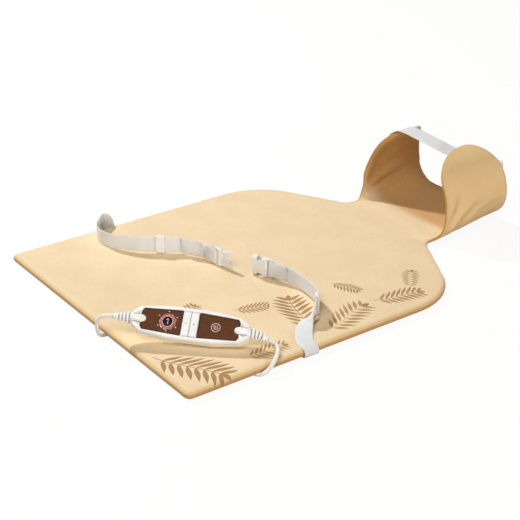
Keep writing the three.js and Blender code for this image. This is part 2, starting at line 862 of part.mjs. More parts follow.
function closureStrapBase() {
  const points = [];
  for (let i = 0; i <= closureSteps; i += 1) {
    const share = closureRootShare + ((1 - closureRootShare) * i) / closureSteps;
    points.push(lobePoint(-1, lobeDegrees * share, closureOffset));
  }
  return ribbon(closureRows(points), closureWidth, closureThickness);
}
const closureSteps = 5;

// The hinge line lies on the lower face of the strap, at the tip of the left lobe
function closureHinge() {
  return lobePoint(-1, lobeDegrees, closureOffset - closureThickness / 2);
}

function closureTongueRows() {
  const root = lobePoint(-1, lobeDegrees, closureOffset);
  const before = lobePoint(-1, lobeDegrees - 1, closureOffset);
  const heading = root.clone().sub(before).normalize();
  const start = root.clone().addScaledVector(heading, clearance);
  const crest = start.clone().addScaledVector(heading, closureCrest);
  const centre = new THREE.Vector3(collarHalfWidth - lobeDepth, closureY, collarWallTop);
  const stack = collarThickness / 2 + patchGap + patchThickness + clearance * 2;
  const radius = lobeDepth - stack - closureThickness / 2;
  const span = crest.clone().sub(centre);
  const touch = Math.atan2(span.z, span.x) - Math.acos(Math.min(radius / span.length(), 1));
  const points = [start, start.clone().lerp(crest, 0.5), crest];
  const landing = centre.clone();
  landing.x += radius * Math.cos(touch);
  landing.z += radius * Math.sin(touch);
  points.push(crest.clone().lerp(landing, 0.08), crest.clone().lerp(landing, 0.5), landing);
  for (let i = 1; i <= closureSteps; i += 1) {
    const angle = touch - (radians(closureReachDegrees) * i) / closureSteps;
    const at = centre.clone();
    at.x += radius * Math.cos(angle);
    at.z += radius * Math.sin(angle);
    points.push(at);
  }
  return closureRows(points);
}
const closureCrest = 5;

function closurePatch() {
  const points = [];
  const offset = -collarThickness / 2 - patchGap - patchThickness / 2;
  const start = lobeDegrees - closureReachDegrees / 2 - patchDegrees;
  for (let i = 0; i <= closureSteps; i += 1) {
    points.push(lobePoint(1, start + (patchDegrees * i) / closureSteps, offset));
  }
  return ribbon(closureRows(points), closureWidth - 2, patchThickness);
}

// Belt webbing: rows of a point and the direction of the webbing's upper edge
const leftTuckShare = 0.309;
const rightTuckShare = 0.354;
const leftTuckY = neckSeam * leftTuckShare;
const rightTuckY = neckSeam * rightTuckShare;
const halfWebbing = webbingWidth / 2;

// Height of the webbing's middle where it rests on the pad, leaning by its edge direction
function restingHeight(edge, liftShare) {
  const rise = Math.abs(edge.z);
  const thick = (webbingThickness / 2) * Math.sqrt(1 - rise ** 2);
  return padThickness + clearance + halfWebbing * rise + thick + liftShare * webbingWidth;
}

function restingRows(table) {
  return table.map(([across, along, lift, ex, ey, ez]) => {
    const edge = new THREE.Vector3(ex, ey, ez).normalize();
    const z = restingHeight(edge, lift);
    return { at: new THREE.Vector3(across * halfPad, along * neckSeam, z), edge };
  });
}

// The webbing's sewn end below the pad and its turn round the pad's edge, from the inside out
function tuckRows(side, y) {
  const reach = halfPad - tuckReach;
  const low = tuckLift + webbingThickness / 2;
  const outside = halfPad + clearance * 5 + webbingThickness / 2;
  const places = [
    [reach, low], [(reach + halfPad) / 2, low], [halfPad - padEdgeBottom * 2, low],
    [halfPad - padEdgeBottom * 0.25, low + padEdgeBottom * 0.1],
    [outside - padEdgeBottom * 0.25, padEdgeBottom * 0.85],
    [outside, padEdgeBottom * 1.8],
  ];
  return places.map(([x, z]) => ({ at: new THREE.Vector3(side * x, y, z), edge: alongY.clone() }));
}

function smoothRows(rows, steps) {
  const places = new THREE.CatmullRomCurve3(rows.map((row) => row.at), false, 'centripetal');
  const edges = new THREE.CatmullRomCurve3(rows.map((row) => row.edge), false, 'centripetal');
  const smooth = [];
  const count = (rows.length - 1) * steps;
  for (let i = 0; i <= count; i += 1) {
    const row = Math.floor(i / steps);
    const part = (i % steps) / steps;
    const edge = rows[row].edge.clone();
    if (part > 0) {
      edge.lerp(rows[row + 1].edge, part).normalize();
    }
    smooth.push({ at: places.getPoint(i / count), edge });
  }
  return smooth;
}

// A straight run of rows through a slider, which keeps its webbing upright
function straightRows(place, length, count) {
  const rows = [];
  for (let i = 0; i < count; i += 1) {
    const at = place.at.clone().addScaledVector(place.heading, length * (i / (count - 1) - 0.5));
    rows.push({ at, edge: up.clone() });
  }
  return rows;
}

function levelPlace(across, along, liftShare, degrees) {
  const z = restingHeight(up, liftShare);
  const at = new THREE.Vector3(across * halfPad, along * neckSeam, z);
  const heading = new THREE.Vector3(Math.cos(radians(degrees)), Math.sin(radians(degrees)), 0);
  return { at, heading };
}

const leftSliderShares = [-0.457, 0.3345, 0.125];
const leftSliderHeading = 52.1;
const adjusterShares = [0.712, 0.473, 0.125];
const adjusterHeading = -43;
const buckleShares = [-0.124, 0.419, 0.115];
const buckleHeading = 15.6;
const socketShares = [0.219, 0.491, 0.16];
const socketHeading = 202.6;
const sliderPlace = levelPlace(...leftSliderShares, leftSliderHeading);
const adjusterPlace = levelPlace(...adjusterShares, adjusterHeading);
const bucklePlace = levelPlace(...buckleShares, buckleHeading);
const socketPlace = levelPlace(...socketShares, socketHeading);

// Moves local [along, aside] pairs at a buckle bar into the pad's frame
function atBar(place, along, aside) {
  const sideways = up.clone().cross(place.heading);
  const point = place.at.clone().addScaledVector(place.heading, along);
  return { at: point.addScaledVector(sideways, aside), edge: up.clone() };
}

// The webbing's end, laid round a buckle bar and back along itself
function barLoopRows(place) {
  const radius = loopRadius + webbingThickness / 2;
  const doubled = webbingThickness + clearance * 1.2;
  const rows = [];
  rows.push(atBar(place, -loopLay * 0.5, radius), atBar(place, -loopLay * 0.2, radius));
  for (let i = 0; i <= loopSteps; i += 1) {
    const angle = quarterTurn - (Math.PI * i) / loopSteps;
    rows.push(atBar(place, radius * Math.cos(angle), radius * Math.sin(angle)));
  }
  rows.push(atBar(place, -loopLay * 0.2, radius * loopReturnShares[0]));
  rows.push(atBar(place, -loopLay * 0.38, radius - doubled * loopReturnShares[1]));
  rows.push(atBar(place, -loopLay * 0.55, radius - doubled));
  rows.push(atBar(place, -loopLay, radius - doubled));
  return rows;
}
const loopSteps = 6;
const loopReturnShares = [-0.72, 1.5];

const leftRiseShares = [
  [-1.01, 0.3081, 11, 0, 1, 0.1],
  [-1.01, 0.3045, 16.5, 0, 0.87, 0.5],
  [-1.006, 0.2975, 20.5, 0.05, 0.5, 0.86],
];
const leftBeltShares = [
  [-0.995, 0.289, 0, 0.04, 0.15, 0.98],
  [-0.964, 0.275, 0, 0, 0, 1],
  [-0.930, 0.260, 0, 0, 0, 1],
  [-0.878, 0.242, 0, 0, 0, 1],
  [-0.814, 0.234, 0, 0, 0, 1],
  [-0.752, 0.235, 0, 0, 0, 1],
  [-0.700, 0.241, 0.01, 0, 0, 1],
  [-0.648, 0.252, 0.04, 0, 0, 1],
  [-0.596, 0.269, 0.10, 0, 0, 1],
];
const leftToBuckleShares = [
  [-0.358, 0.3790, 0.125, 0, 0, 1],
  [-0.300, 0.3945, 0.12, 0, 0, 1],
];
const rightFromSocketShares = [
  [0.316, 0.5045, 0.15, 0, 0, 1],
  [0.357, 0.5085, 0.13, 0, 0, 1],
  [0.414, 0.511, 0.12, 0, 0, 1],
  [0.476, 0.510, 0.11, 0, 0, 1],
  [0.571, 0.504, 0.11, 0, 0, 1],
];
const rightFoldShares = [
  [0.772, 0.4395, 0.03, 0.35, 0.2, 0.92],
  [0.782, 0.4235, 0, 0.5, 0.42, 0.72],
  [0.797, 0.409, 0, 0.7, 0.6, 0.42],
  [0.826, 0.394, 0, 0.74, 0.66, 0.14],
  [0.866, 0.379, 0, 0.64, 0.76, 0],
  [0.908, 0.3655, 0, 0.42, 0.9, 0],
  [0.948, 0.357, 0, 0.15, 0.98, 0],
];

function leftBeltRows() {
  const rise = leftRiseShares.map(([across, along, z, ex, ey, ez]) => ({
    at: new THREE.Vector3(across * halfPad, along * neckSeam, z),
    edge: new THREE.Vector3(ex, ey, ez).normalize(),
  }));
  const main = smoothRows([
    ...tuckRows(-1, leftTuckY),
    ...rise,
    ...restingRows(leftBeltShares),
    ...straightRows(sliderPlace, sliderStraight, straightCount),
    ...restingRows(leftToBuckleShares),
    atBar(bucklePlace, -loopLay * 1.15, loopRadius + webbingThickness / 2),
    atBar(bucklePlace, -loopLay * 0.8, loopRadius + webbingThickness / 2),
  ], rowSteps);
  return [...main, ...barLoopRows(bucklePlace)];
}
const straightCount = 7;
const rowSteps = 2;

function rightBeltRows() {
  const edgeX = halfPad - 0.8;
  const main = smoothRows([
    atBar(socketPlace, -loopLay * 0.8, loopRadius + webbingThickness / 2),
    atBar(socketPlace, -loopLay * 1.15, loopRadius + webbingThickness / 2),
    ...restingRows(rightFromSocketShares),
    ...straightRows(adjusterPlace, adjusterStraight, straightCount),
    ...restingRows(rightFoldShares),
    { at: new THREE.Vector3(edgeX - 3.5, rightTuckY, padThickness + clearance * 1.5), edge: alongY.clone() },
    { at: new THREE.Vector3(edgeX + 1.2, rightTuckY, padThickness - 1.2), edge: alongY.clone() },
    ...tuckRows(1, rightTuckY).reverse(),
  ], rowSteps);
  return [...barLoopRows(socketPlace).reverse(), ...main];
}

// A loop that slides along the webbing: local X runs along the strap, Z up
function sliderLoop(length) {
  const height = webbingWidth + 2 * (sliderWall + clearance);
  const outlineAt = (inset) => roundedOutline(rectangle(sliderDepth, height), sliderWall, inset, 3);
  const body = stack(outlineAt, [
    [sliderWall * 0.3, -length / 2],
    [0, -length / 2 + sliderWall * 0.4],
    [0, length / 2 - sliderWall * 0.4],
    [sliderWall * 0.3, length / 2],
  ]);
  const slot = rectangle(webbingThickness + 2 * sliderGap, webbingWidth + clearance * 2);
  const passage = prism(slot, -length, length);
  const windowHeight = height - sliderWall * 5;
  const gripWindow = box(0, sliderDepth, -windowHeight / 2, windowHeight / 2, -length * 0.2, length * 0.2);
  return cut(body, [passage, gripWindow]).rotateX(quarterTurn).rotateZ(quarterTurn);
}

// Side-release buckle, plug half: local X runs from the bar into the socket, Z is up
function buckleFrame(reach, width, thickness) {
  const half = width / 2;
  const arm = prism(polygon([
    [-barDiameter / 2, -thickness * 0.3], [reach, -thickness / 2],
    [reach, thickness / 2], [-barDiameter / 2, thickness * 0.3],
  ]), 0, buckleArm);
  return [
    rod(barDiameter / 2, -half + buckleArm / 2, half - buckleArm / 2, barSides),
    arm.clone().translate(0, 0, half - buckleArm),
    arm.clone().translate(0, 0, -half),
  ];
}
const barSides = 12;

function bucklePlug() {
  const half = plugWidth / 2;
  const start = loopRadius + webbingThickness + clearance * 3;
  const shoulder = start + plugBlock;
  const tip = plugReach;
  const run = tip - shoulder;
  const prongHalf = [
    [start, 0], [start, half], [shoulder, half], [shoulder + run * 0.06, half * 0.87],
    [shoulder + run * 0.42, half * 0.82], [shoulder + run * 0.46, half * 0.98],
    [shoulder + run * 0.78, half * 0.88], [tip, half * 0.66], [tip - run * 0.1, half * 0.58],
    [shoulder + run * 0.16, half * 0.6], [shoulder, half * 0.48], [shoulder, half * 0.3],
    [shoulder + run * 0.08, half * 0.22], [tip - run * 0.22, half * 0.18], [tip - run * 0.08, half * 0.1],
    [tip - run * 0.08, 0],
  ];
  const lower = prongHalf.map(([x, z]) => [x, -z]).reverse();
  const outline = polygon([...prongHalf, ...lower.slice(1, -1)].reverse());
  const fork = prism(outline, -prongThickness / 2, prongThickness / 2).rotateX(quarterTurn);
  const blockAt = (inset) => roundedOutline(rectangle(plugBlock, plugWidth), 1, inset, 2);
  const block = stack(blockAt, [
    [0.5, -plugThickness / 2],
    [0, -plugThickness / 2 + 0.6],
    [0, plugThickness / 2 - 0.6],
    [0.5, plugThickness / 2],
  ]).rotateX(quarterTurn).translate(start + plugBlock / 2, 0, 0);
  return join([...buckleFrame(start + overrun, plugWidth, plugThickness), block, fork]);
}

function buckleSocket() {
  const start = loopRadius + webbingThickness + clearance * 3;
  const length = buckleSocketReach - start;
  const half = buckleSocketWidth / 2;
  const depth = buckleSocketThickness / 2;
  const outlineAt = (inset) => roundedOutline(rectangle(length, buckleSocketWidth), 2, inset, 2);
  const body = stack(outlineAt, [
    [1.4, -depth],
    [0, -depth + 1.4],
    [0, depth - 1.4],
    [1.4, depth],
  ]).rotateX(quarterTurn).translate(start + length / 2, 0, 0);
  const inner = half - buckleArm;
  const mouthHalf = buckleMouth / 2;
  const cavity = box(start + buckleArm * 1.6, buckleSocketReach + overrun, -mouthHalf, mouthHalf, -inner, inner);
  const notchStart = start + length * 0.28;
  const notchEnd = start + length * 0.72;
  const notch = polygon([
    [notchStart, half + overrun], [notchStart + 1, half - buckleNotch], [notchEnd - 3, half - buckleNotch],
    [notchEnd, half + overrun],
  ]);
  const lowerNotch = polygon([
    [notchStart, -half - overrun], [notchStart + 1, buckleNotch - half], [notchEnd - 3, buckleNotch - half],
    [notchEnd, -half - overrun],
  ]);
  const through = (points) => prism(points, -depth - overrun, depth + overrun).rotateX(quarterTurn);
  const frame = buckleFrame(start + overrun, buckleSocketWidth, plugThickness);
  return cut(join([...frame, body]), [cavity, through(notch), through(lowerNotch)]);
}

// Controller, in its own frame: X along it, the window plane at z 0
function housingCorners() {
  const half = housingLength / 2;
  const wide = housingWidth / 2;
  const shares = [[1, 0.4], [0.86, 0.76], [0.4, 0.98]];
  const quarter = shares.map(([x, y]) => [x * half, y * wide]);
  const top = [...quarter, ...quarter.map(([x, y]) => [-x, y]).reverse()];
  const bottom = top.map(([x, y]) => [-x, -y]);
  return polygon([...top, ...bottom]);
}

function housingOutline(inset) {
  return roundedOutline(housingCorners(), housingCorner, inset, 2);
}

const partingTop = clearance / 2 - partingDepth;
const partingLow = -clearance / 2 - partingDepth;
const recessFloor = -windowThickness - clearance;
const ceiling = recessFloor - plateThickness;
const housingFloor = housingWall - housingDepth;
const boardTop = -boardDepth;
const boardUnder = boardTop - boardThickness;

function bossPlaces() {
  const x = (housingLength / 2) * 0.73;
  const y = (housingWidth / 2) * 0.555;
  return [[x, y], [-x, y], [-x, -y], [x, -y]];
}

function reliefBores() {
  const radius = reliefRadius + clearance;
  const bore = rod(radius, reliefNose - clearance, housingLength, reliefSides).rotateY(quarterTurn);
  bore.translate(0, 0, -partingDepth);
  return [bore, bore.clone().rotateZ(Math.PI)];
}
const reliefSides = 14;

function windowOutline(inset) {
  const near = barWidth / 2;
  const far = near + windowLength;
  const wide = windowWidth / 2;
  const end = windowEndWidth / 2;
  const corners = polygon([
    [near, -wide], [far - windowChamfer * 0.6, -end], [far, windowChamfer - end],
    [far, end - windowChamfer], [far - windowChamfer * 0.6, end], [near, wide],
  ]);
  return roundedOutline(corners, 1, inset, 1);
}

function windowPlate() {
  const plate = stack(windowOutline, [
    [0, -windowThickness],
    [0, -clearance],
    [clearance, 0],
  ]);
  return cut(plate, [reliefBores()[0]]);
}

function ringOutline(inset) {
  const points = [];
  for (let i = 0; i < ringSteps; i += 1) {
    const angle = (i * 2 * Math.PI) / ringSteps;
    const radius = ringRadius - inset + ringLobe * Math.cos(angle * ringLobes);
    points.push(new THREE.Vector2(ringAcross + radius * Math.cos(angle), radius * Math.sin(angle)));
  }
  return points;
}
const ringSteps = 32;
const ringLobes = 8;

function displayWindow() {
  const hole = ringRadius + ringLobe + clearance;
  const opening = rod(hole, -windowThickness - overrun, overrun, ringSteps / 2).translate(ringAcross, 0, 0);
  return cut(windowPlate().rotateZ(Math.PI), [opening]);
}

function levelRing() {
  const body = stack(ringOutline, [
    [0, -windowThickness],
    [0, -clearance],
    [clearance, 0],
  ]);
  const hole = rod(ringInner, -windowThickness - overrun, overrun, ringSteps / 2);
  return cut(body, [hole.translate(ringAcross, 0, 0)]);
}

function displayLens() {
  const lens = turned([
    [0, -windowThickness], [lensRadius, -windowThickness], [lensRadius, -clearance],
    [lensRadius * 0.6, 0], [0, clearance / 2],
  ], ringSteps / 2);
  return lens.translate(ringAcross, 0, 0);
}

function upperHousing() {
  const shell = stack(housingOutline, [
    [2.8, housingRim],
    [1.6, housingRim * 0.6],
    [0.5, -overrun],
    [0, -partingDepth * 0.5],
    [0, partingTop],
    [housingWall, partingTop],
    [housingWall, ceiling - overrun],
    [housingWall + overrun, ceiling],
  ]);
  const bosses = bossPlaces().map(([x, y]) =>
    rod(bossRadius, partingTop, ceiling + plateThickness / 2, barSides).translate(x, y, 0));
  const recess = stack((inset) => windowOutline(inset - clearance), [[0, recessFloor], [0, overrun]]);
  const pilots = bossPlaces().map(([x, y]) =>
    rod(screwShank + clearance, -housingDepth, ceiling, coilSides * 2).translate(x, y, 0));
  const openHalf = buttonLength / 2 + clearance;
  const openWide = barWidth / 2 - clearance;
  return cut(join([shell, ...bosses]), [
    recess,
    recess.clone().rotateZ(Math.PI),
    box(-openWide, openWide, -openHalf, openHalf, ceiling - overrun, overrun * 2),
    rod(lensRadius - overrun, ceiling - overrun, overrun, reliefSides).translate(ringAcross, 0, 0),
    ...pilots,
    ...reliefBores(),
  ]);
}

function lowerHousing() {
  const shell = stack(housingOutline, [
    [2.4, -housingDepth],
    [0.9, -housingDepth + 0.8],
    [0.15, -housingDepth + 2.2],
    [0, -housingDepth * 0.7],
    [0, partingLow],
    [housingWall, partingLow],
    [housingWall + 0.2, -housingDepth + 5],
    [housingWall + 2, housingFloor],
  ]);
  const bosses = bossPlaces().map(([x, y]) =>
    rod(bossRadius, housingFloor - overrun / 2, partingLow, barSides).translate(x, y, 0));
  const posts = boardPosts().map(([x, y]) =>
    rod(postRadius, housingFloor - overrun / 2, boardUnder, coilSides).translate(x, y, 0));
  const bores = bossPlaces().map(([x, y]) =>
    rod(bossBore, -housingDepth - overrun, overrun, barSides).translate(x, y, 0));
  const counterbores = bossPlaces().map(([x, y]) =>
    rod(screwHead + clearance, -housingDepth - overrun, counterboreDepth - housingDepth, barSides)
      .translate(x, y, 0));
  return cut(join([shell, ...bosses, ...posts]), [...bores, ...counterbores, ...reliefBores()]);
}
const postRadius = 2;

function boardPosts() {
  const x = boardLength * 0.42;
  const y = boardWidth * 0.34;
  return [[x, y], [-x, y], [-x, -y], [x, -y]];
}

function housingScrew([x, y]) {
  const headTop = counterboreDepth - housingDepth - clearance;
  const screw = turned([
    [0, headTop - screwHeadHeight], [screwHead * 0.7, headTop - screwHeadHeight],
    [screwHead, headTop - screwHeadHeight * 0.5], [screwHead, headTop], [screwShank, headTop],
    [screwShank, headTop + screwLength * 0.85], [0, headTop + screwLength * 0.9],
  ], screwSides);
  return screw.translate(x, y, 0);
}

const screwSides = 8;

// A push button: a crowned cap, a flange that holds it in, and a stem over its switch
function pushButton() {
  const width = barWidth / 2 - clearance * 2.5;
  const flangeTop = ceiling - clearance;
  const flangeLow = flangeTop - overrun;
  const capAt = (inset) => roundedOutline(rectangle(width, buttonLength), 1.2, inset, 2);
  const cap = stack(capAt, [
    [0, flangeLow],
    [0, housingRim * 0.5],
    [0.5, housingRim * 1.3],
    [1.6, housingRim * 1.6],
  ]);
  const flange = stack((inset) => roundedOutline(rectangle(width, buttonLength + 3), 1, inset, 1), [
    [0, flangeLow],
    [0, flangeTop],
  ]);
  const stem = rod(buttonStem / 2, boardTop + switchHeight + buttonTravel + clearance, flangeLow + overrun / 2,
    barSides);
  return join([cap, flange, stem]);
}

function tactSwitch() {
  const outlineAt = (inset) => roundedOutline(rectangle(switchSize, switchSize), 0.5, inset, 1);
  const body = stack(outlineAt, [[0, boardTop], [0, boardTop + switchHeight * 0.7]]);
  const plunger = rod(switchSize * 0.28, boardTop + switchHeight * 0.5, boardTop + switchHeight, barSides);
  return join([body, plunger]);
}

function circuitBoard() {
  const outlineAt = (inset) => roundedOutline(rectangle(boardLength, boardWidth), 4, inset, 2);
  return stack(outlineAt, [[0, boardUnder], [0, boardTop]]);
}

function block(width, length, height, corner) {
  const outlineAt = (inset) => roundedOutline(rectangle(width, length), corner, inset, 2);
  return stack(outlineAt, [[0, boardTop], [0, boardTop + height - corner / 2], [corner / 2, boardTop + height]]);
}

function fuse() {
  const radius = 2;
  const half = 10;
  const tube = turned([
    [0, -half], [radius, -half], [radius, -half * 0.7], [radius * 0.9, -half * 0.7],
    [radius * 0.9, half * 0.7], [radius, half * 0.7], [radius, half], [0, half],
  ], barSides);
  return tube.rotateY(quarterTurn).translate(0, 0, boardTop + radius + clearance);
}

function capacitor() {
  const radius = 2.1;
  const half = 5.5;
  const can = turned([
    [0, -half], [radius * 0.8, -half], [radius, -half * 0.9], [radius, -half * 0.7], [radius * 0.9, -half * 0.6],
    [radius, -half * 0.5], [radius, half], [0, half],
  ], barSides);
  return can.rotateX(quarterTurn).translate(0, 0, boardTop + radius + clearance);
}

// Strain relief: a bullet-shaped head in the housing's end, then ribs that taper to the cord
function strainRelief(bendDegrees) {
  const profile = [
    [0, reliefNose], [reliefRadius * 0.42, reliefNose + 0.5], [reliefRadius * 0.74, reliefNose + 2.5],
    [reliefRadius * 0.93, reliefNose + 5.5], [reliefRadius, reliefNose + 9.5],
    [reliefRadius * 0.97, reliefNose + 14], [reliefRadius * 0.86, reliefShoulder - 0.8],
  ];
  const pitch = (reliefTip - reliefShoulder) / (ribCount + 1);
  for (let i = 0; i < ribCount; i += 1) {
    const radius = ribRadius + ((ribTipRadius - ribRadius) * i) / (ribCount - 1);
    const start = reliefShoulder + pitch * i;
    profile.push([radius - ribGroove, start], [radius - ribGroove, start + pitch * 0.4]);
    profile.push([radius, start + pitch * 0.5], [radius, start + pitch * 0.9]);
  }
  profile.push([reliefEndRadius, reliefTip - pitch], [reliefEndRadius * 0.85, reliefTip], [0, reliefTip]);
  const relief = turned(profile, reliefSides).rotateY(quarterTurn);
  bendTail(relief, radians(bendDegrees));
  return relief.translate(0, 0, -partingDepth);
}

// Bends the part beyond the shoulder sideways, toward -Y, by an angle at its tip
function bendTail(geometry, angle) {
  const place = geometry.attributes.position;
  const length = reliefTip - reliefShoulder;
  for (let i = 0; angle > 0 && i < place.count; i += 1) {
    const along = place.getX(i) - reliefShoulder;
    if (along > 0) {
      const radius = length / angle;
      const turn = along / radius;
      const out = radius + place.getY(i);
      place.setXY(i, reliefShoulder + out * Math.sin(turn), out * Math.cos(turn) - radius);
    }
  }
}

// Cords
function cordLine(points) {
  const path = new THREE.CatmullRomCurve3(points.map((p) => new THREE.Vector3(...p)), false, 'centripetal');
  return path.getPoints((points.length - 1) * cordSteps);
}

function cordTube(points) {
  return roundTube(cordLine(points), cordDiameter, cordSides);
}

function roundTube(points, diameter, sides) {
  const heading = tangents(points);
  const stations = points.map((at, i) => {
    const side = up.clone().cross(heading[i]).normalize();
    return { at, side, lift: heading[i].clone().cross(side) };
  });
  return sweep(stations, roundSection(diameter / 2, sides));
}

const coilPitch = cordDiameter + coilGap;
const coilFloor = tieThickness + clearance + cordDiameter / 2;
const coilTotal = 2 * coilTurns + 0.5;

// Radius and height of the coil after a number of turns: in, over the climb, and out again
function coilPlace(turns) {
  const start = coilTurns;
  const end = coilTurns + 0.5;
  const inner = coilRadius - coilPitch * coilTurns;
  let radius = coilRadius - coilPitch * turns;
  let climb = 0;
  if (turns > end) {
    radius = inner + coilPitch * (turns - end);
    climb = 1;
  } else if (turns > start) {
    const share = (turns - start) / (end - start);
    radius = inner - coilPitch * (end - start) * share * (1 - share);
    climb = share * share * (3 - 2 * share);
  }
  const angle = turns * 2 * Math.PI;
  const x = coilX + radius * Math.cos(angle);
  const y = coilY + radius * Math.sin(angle);
  return new THREE.Vector3(x, y, coilFloor + climb * coilPitch);
}

function coilPoints() {
  const count = Math.round(coilTotal * coilSteps);
  const points = [];
  for (let i = 0; i <= count; i += 1) {
    points.push(coilPlace((coilTotal * i) / count));
  }
  const inward = points[0].clone().sub(points[1]).normalize();
  inward.z = 0;
  const outward = coilExit().heading;
  points.unshift(points[0].clone().addScaledVector(inward, coilLead));
  points.push(points[points.length - 1].clone().addScaledVector(outward, coilLead));
  return points;
}

function coilExit() {
  const at = coilPlace(coilTotal);
  const before = coilPlace(coilTotal - 0.01);
  const heading = at.clone().sub(before).setZ(0).normalize();
  return { at, heading };
}

function leastCoilGap(points) {
  let least = Infinity;
  for (let i = 0; i < points.length; i += 1) {
    for (let j = i + coilSteps / 2; j < points.length; j += 1) {
      least = Math.min(least, points[i].distanceTo(points[j]) - cordDiameter);
    }
  }
  return least;
}

function coilTube() {
  const points = coilPoints();
  console.log(`least gap between the coil's turns: ${leastCoilGap(points).toFixed(2)} mm`);
  return roundTube(points, cordDiameter, coilSides);
}

function coilTie() {
  const angle = radians(tieDegrees);
  const outer = coilPlace(tieDegrees / 360);
  const inner = coilPlace(coilTurns + 0.5 + (tieDegrees / 360 + 3 - coilTurns - 0.5) % 1);
  const centre = new THREE.Vector2(coilX, coilY);
  const away = Math.max(new THREE.Vector2(outer.x, outer.y).distanceTo(centre), coilRadius);
  const near = Math.min(new THREE.Vector2(inner.x, inner.y).distanceTo(centre), coilRadius - 2 * coilPitch);
  const margin = cordDiameter / 2 + clearance * 2;
  const low = coilFloor - cordDiameter / 2 - clearance;
  const high = coilFloor + coilPitch + margin;
  const width = away - near + 2 * margin - coilPitch / 2;
  const middle = (near + away) / 2 - coilPitch / 4;
  const height = high - low;
  const outlineAt = (inset) => roundedOutline(rectangle(width, height), overrun * 2, inset, 2);
  const ring = new THREE.Shape(outlineAt(-tieThickness));
  ring.holes.push(new THREE.Path(outlineAt(0)));
  const band = new THREE.ExtrudeGeometry(ring, { depth: tieWidth, bevelEnabled: false });
  band.translate(0, 0, -tieWidth / 2).rotateX(quarterTurn).translate(middle, 0, (low + high) / 2);
  return band.rotateZ(angle).translate(coilX, coilY, 0);
}

// The free end of the cord, sloping down from the coil to the plug, then the plug itself
const plugAxisHeight = plugBodyHeight / 2 + clearance / 2;

function tailEnds() {
  const { at, heading } = coilExit();
  const start = at.clone().addScaledVector(heading, coilLead + clearance);
  const end = at.clone().addScaledVector(heading, tailLength).setZ(plugAxisHeight);
  return { start, end, heading };
}

function cordTail() {
  const { start, end, heading } = tailEnds();
  const points = [
    start,
    start.clone().addScaledVector(heading, cordDiameter),
    end.clone().addScaledVector(heading, -cordDiameter),
    end,
  ];
  return cordTube(points.map((p) => p.toArray()));
}

function placeAtPlug(geometry) {
  const { end, heading } = tailEnds();
  geometry.rotateZ(Math.atan2(heading.y, heading.x));
  return geometry.translate(end.x, end.y, plugAxisHeight);
}

function plugRelief() {
  const start = clearance;
  const pitch = (plugReliefLength - start) / 6;
  const profile = [[0, start], [cordDiameter * 0.62, start], [cordDiameter * 0.66, start + pitch]];
  for (let i = 0; i < 4; i += 1) {
    const radius = cordDiameter * (0.7 + 0.09 * i);
    const low = start + pitch * (1 + i);
    profile.push([radius, low + pitch * 0.1], [radius, low + pitch * 0.55]);
    profile.push([radius * 0.82, low + pitch * 0.62], [radius * 0.84, low + pitch * 0.95]);
  }
  profile.push([cordDiameter * 1.05, plugReliefLength - pitch * 0.8], [cordDiameter * 1.05, plugReliefLength]);
  profile.push([0, plugReliefLength]);
  return turned(profile, barSides).rotateY(quarterTurn);
}

function plugBody() {
  const start = plugReliefLength + clearance;
  const sectionAt = (share, width, height) =>
    roundedOutline(rectangle(width, height), height * 0.35, 0, 3)
      .map((p) => new THREE.Vector3(start + share * plugBodyLength, p.x, p.y));
  const body = loft([
    sectionAt(0, plugBodyWidth * 0.36, plugBodyHeight * 0.78),
    sectionAt(0.22, plugBodyWidth * 0.52, plugBodyHeight * 0.86),
    sectionAt(0.5, plugBodyWidth * 0.78, plugBodyHeight * 0.95),
    sectionAt(0.74, plugBodyWidth * 0.97, plugBodyHeight),
    sectionAt(0.94, plugBodyWidth, plugBodyHeight),
    sectionAt(1, plugBodyWidth * 0.97, plugBodyHeight * 0.95),
  ], fanCap);
  const sockets = [-1, 1].map((side) =>
    rod(pinDiameter / 2 + clearance, start + plugBodyLength * 0.8, start + plugBodyLength + overrun, barSides)
      .rotateY(quarterTurn).translate(0, (side * pinSpacing) / 2, 0));
  return cut(body, sockets);
}

function plugPin(side) {
  const start = plugReliefLength + clearance + plugBodyLength * 0.8 + clearance;
  const end = plugReliefLength + clearance + plugBodyLength + pinLength;
  const pin = turned([
    [0, start], [pinDiameter / 2, start], [pinDiameter / 2, end - 1.2], [pinDiameter / 4, end], [0, end],
  ], barSides);
  return pin.rotateY(quarterTurn).translate(0, (side * pinSpacing) / 2, 0);
}

// Assembly
function piece(name, geometry, material) {
  const mesh = new THREE.Mesh(weld(geometry), material);
  mesh.name = name;
  return mesh;
}

function padAssembly() {
  const group = new THREE.Group();
  group.add(
    piece('pad_top_cover', padTopCover(), creamFabric),
    piece('pad_upper_wadding', upperWadding(), wadding),
    piece('heating_wire', heatingWire(), wireFinish),
    piece('heating_carrier', heatingCarrier(), carrierFelt),
    piece('pad_bottom_cover', padBottomCover(), undersideFabric),
    piece('coupling_socket', couplingSocket(), whitePlastic),
    piece('coupling_plug', couplingPlug(), whitePlastic),
  );
  cutoutPlaces().forEach((place, i) => {
    group.add(piece(`thermal_cutout_${i + 1}`, thermalCutout(place), blackPlastic));
  });
  return group;
}

function collarAssembly() {
  const group = new THREE.Group();
  group.add(
    piece('collar_outer_cover', collarOuterCover(), creamFabric),
    piece('collar_wadding', collarWadding(), wadding),
    piece('collar_inner_cover', collarInnerCover(), innerFabric),
    piece('closure_strap_base', closureStrapBase(), whiteWebbing),
    piece('closure_strap', ribbon(closureTongueRows(), closureWidth, closureThickness), whiteWebbing),
    piece('closure_patch', closurePatch(), whiteWebbing),
  );
  return group;
}

function placed(mesh, place) {
  mesh.position.copy(place.at);
  mesh.rotation.z = Math.atan2(place.heading.y, place.heading.x);
  return mesh;
}

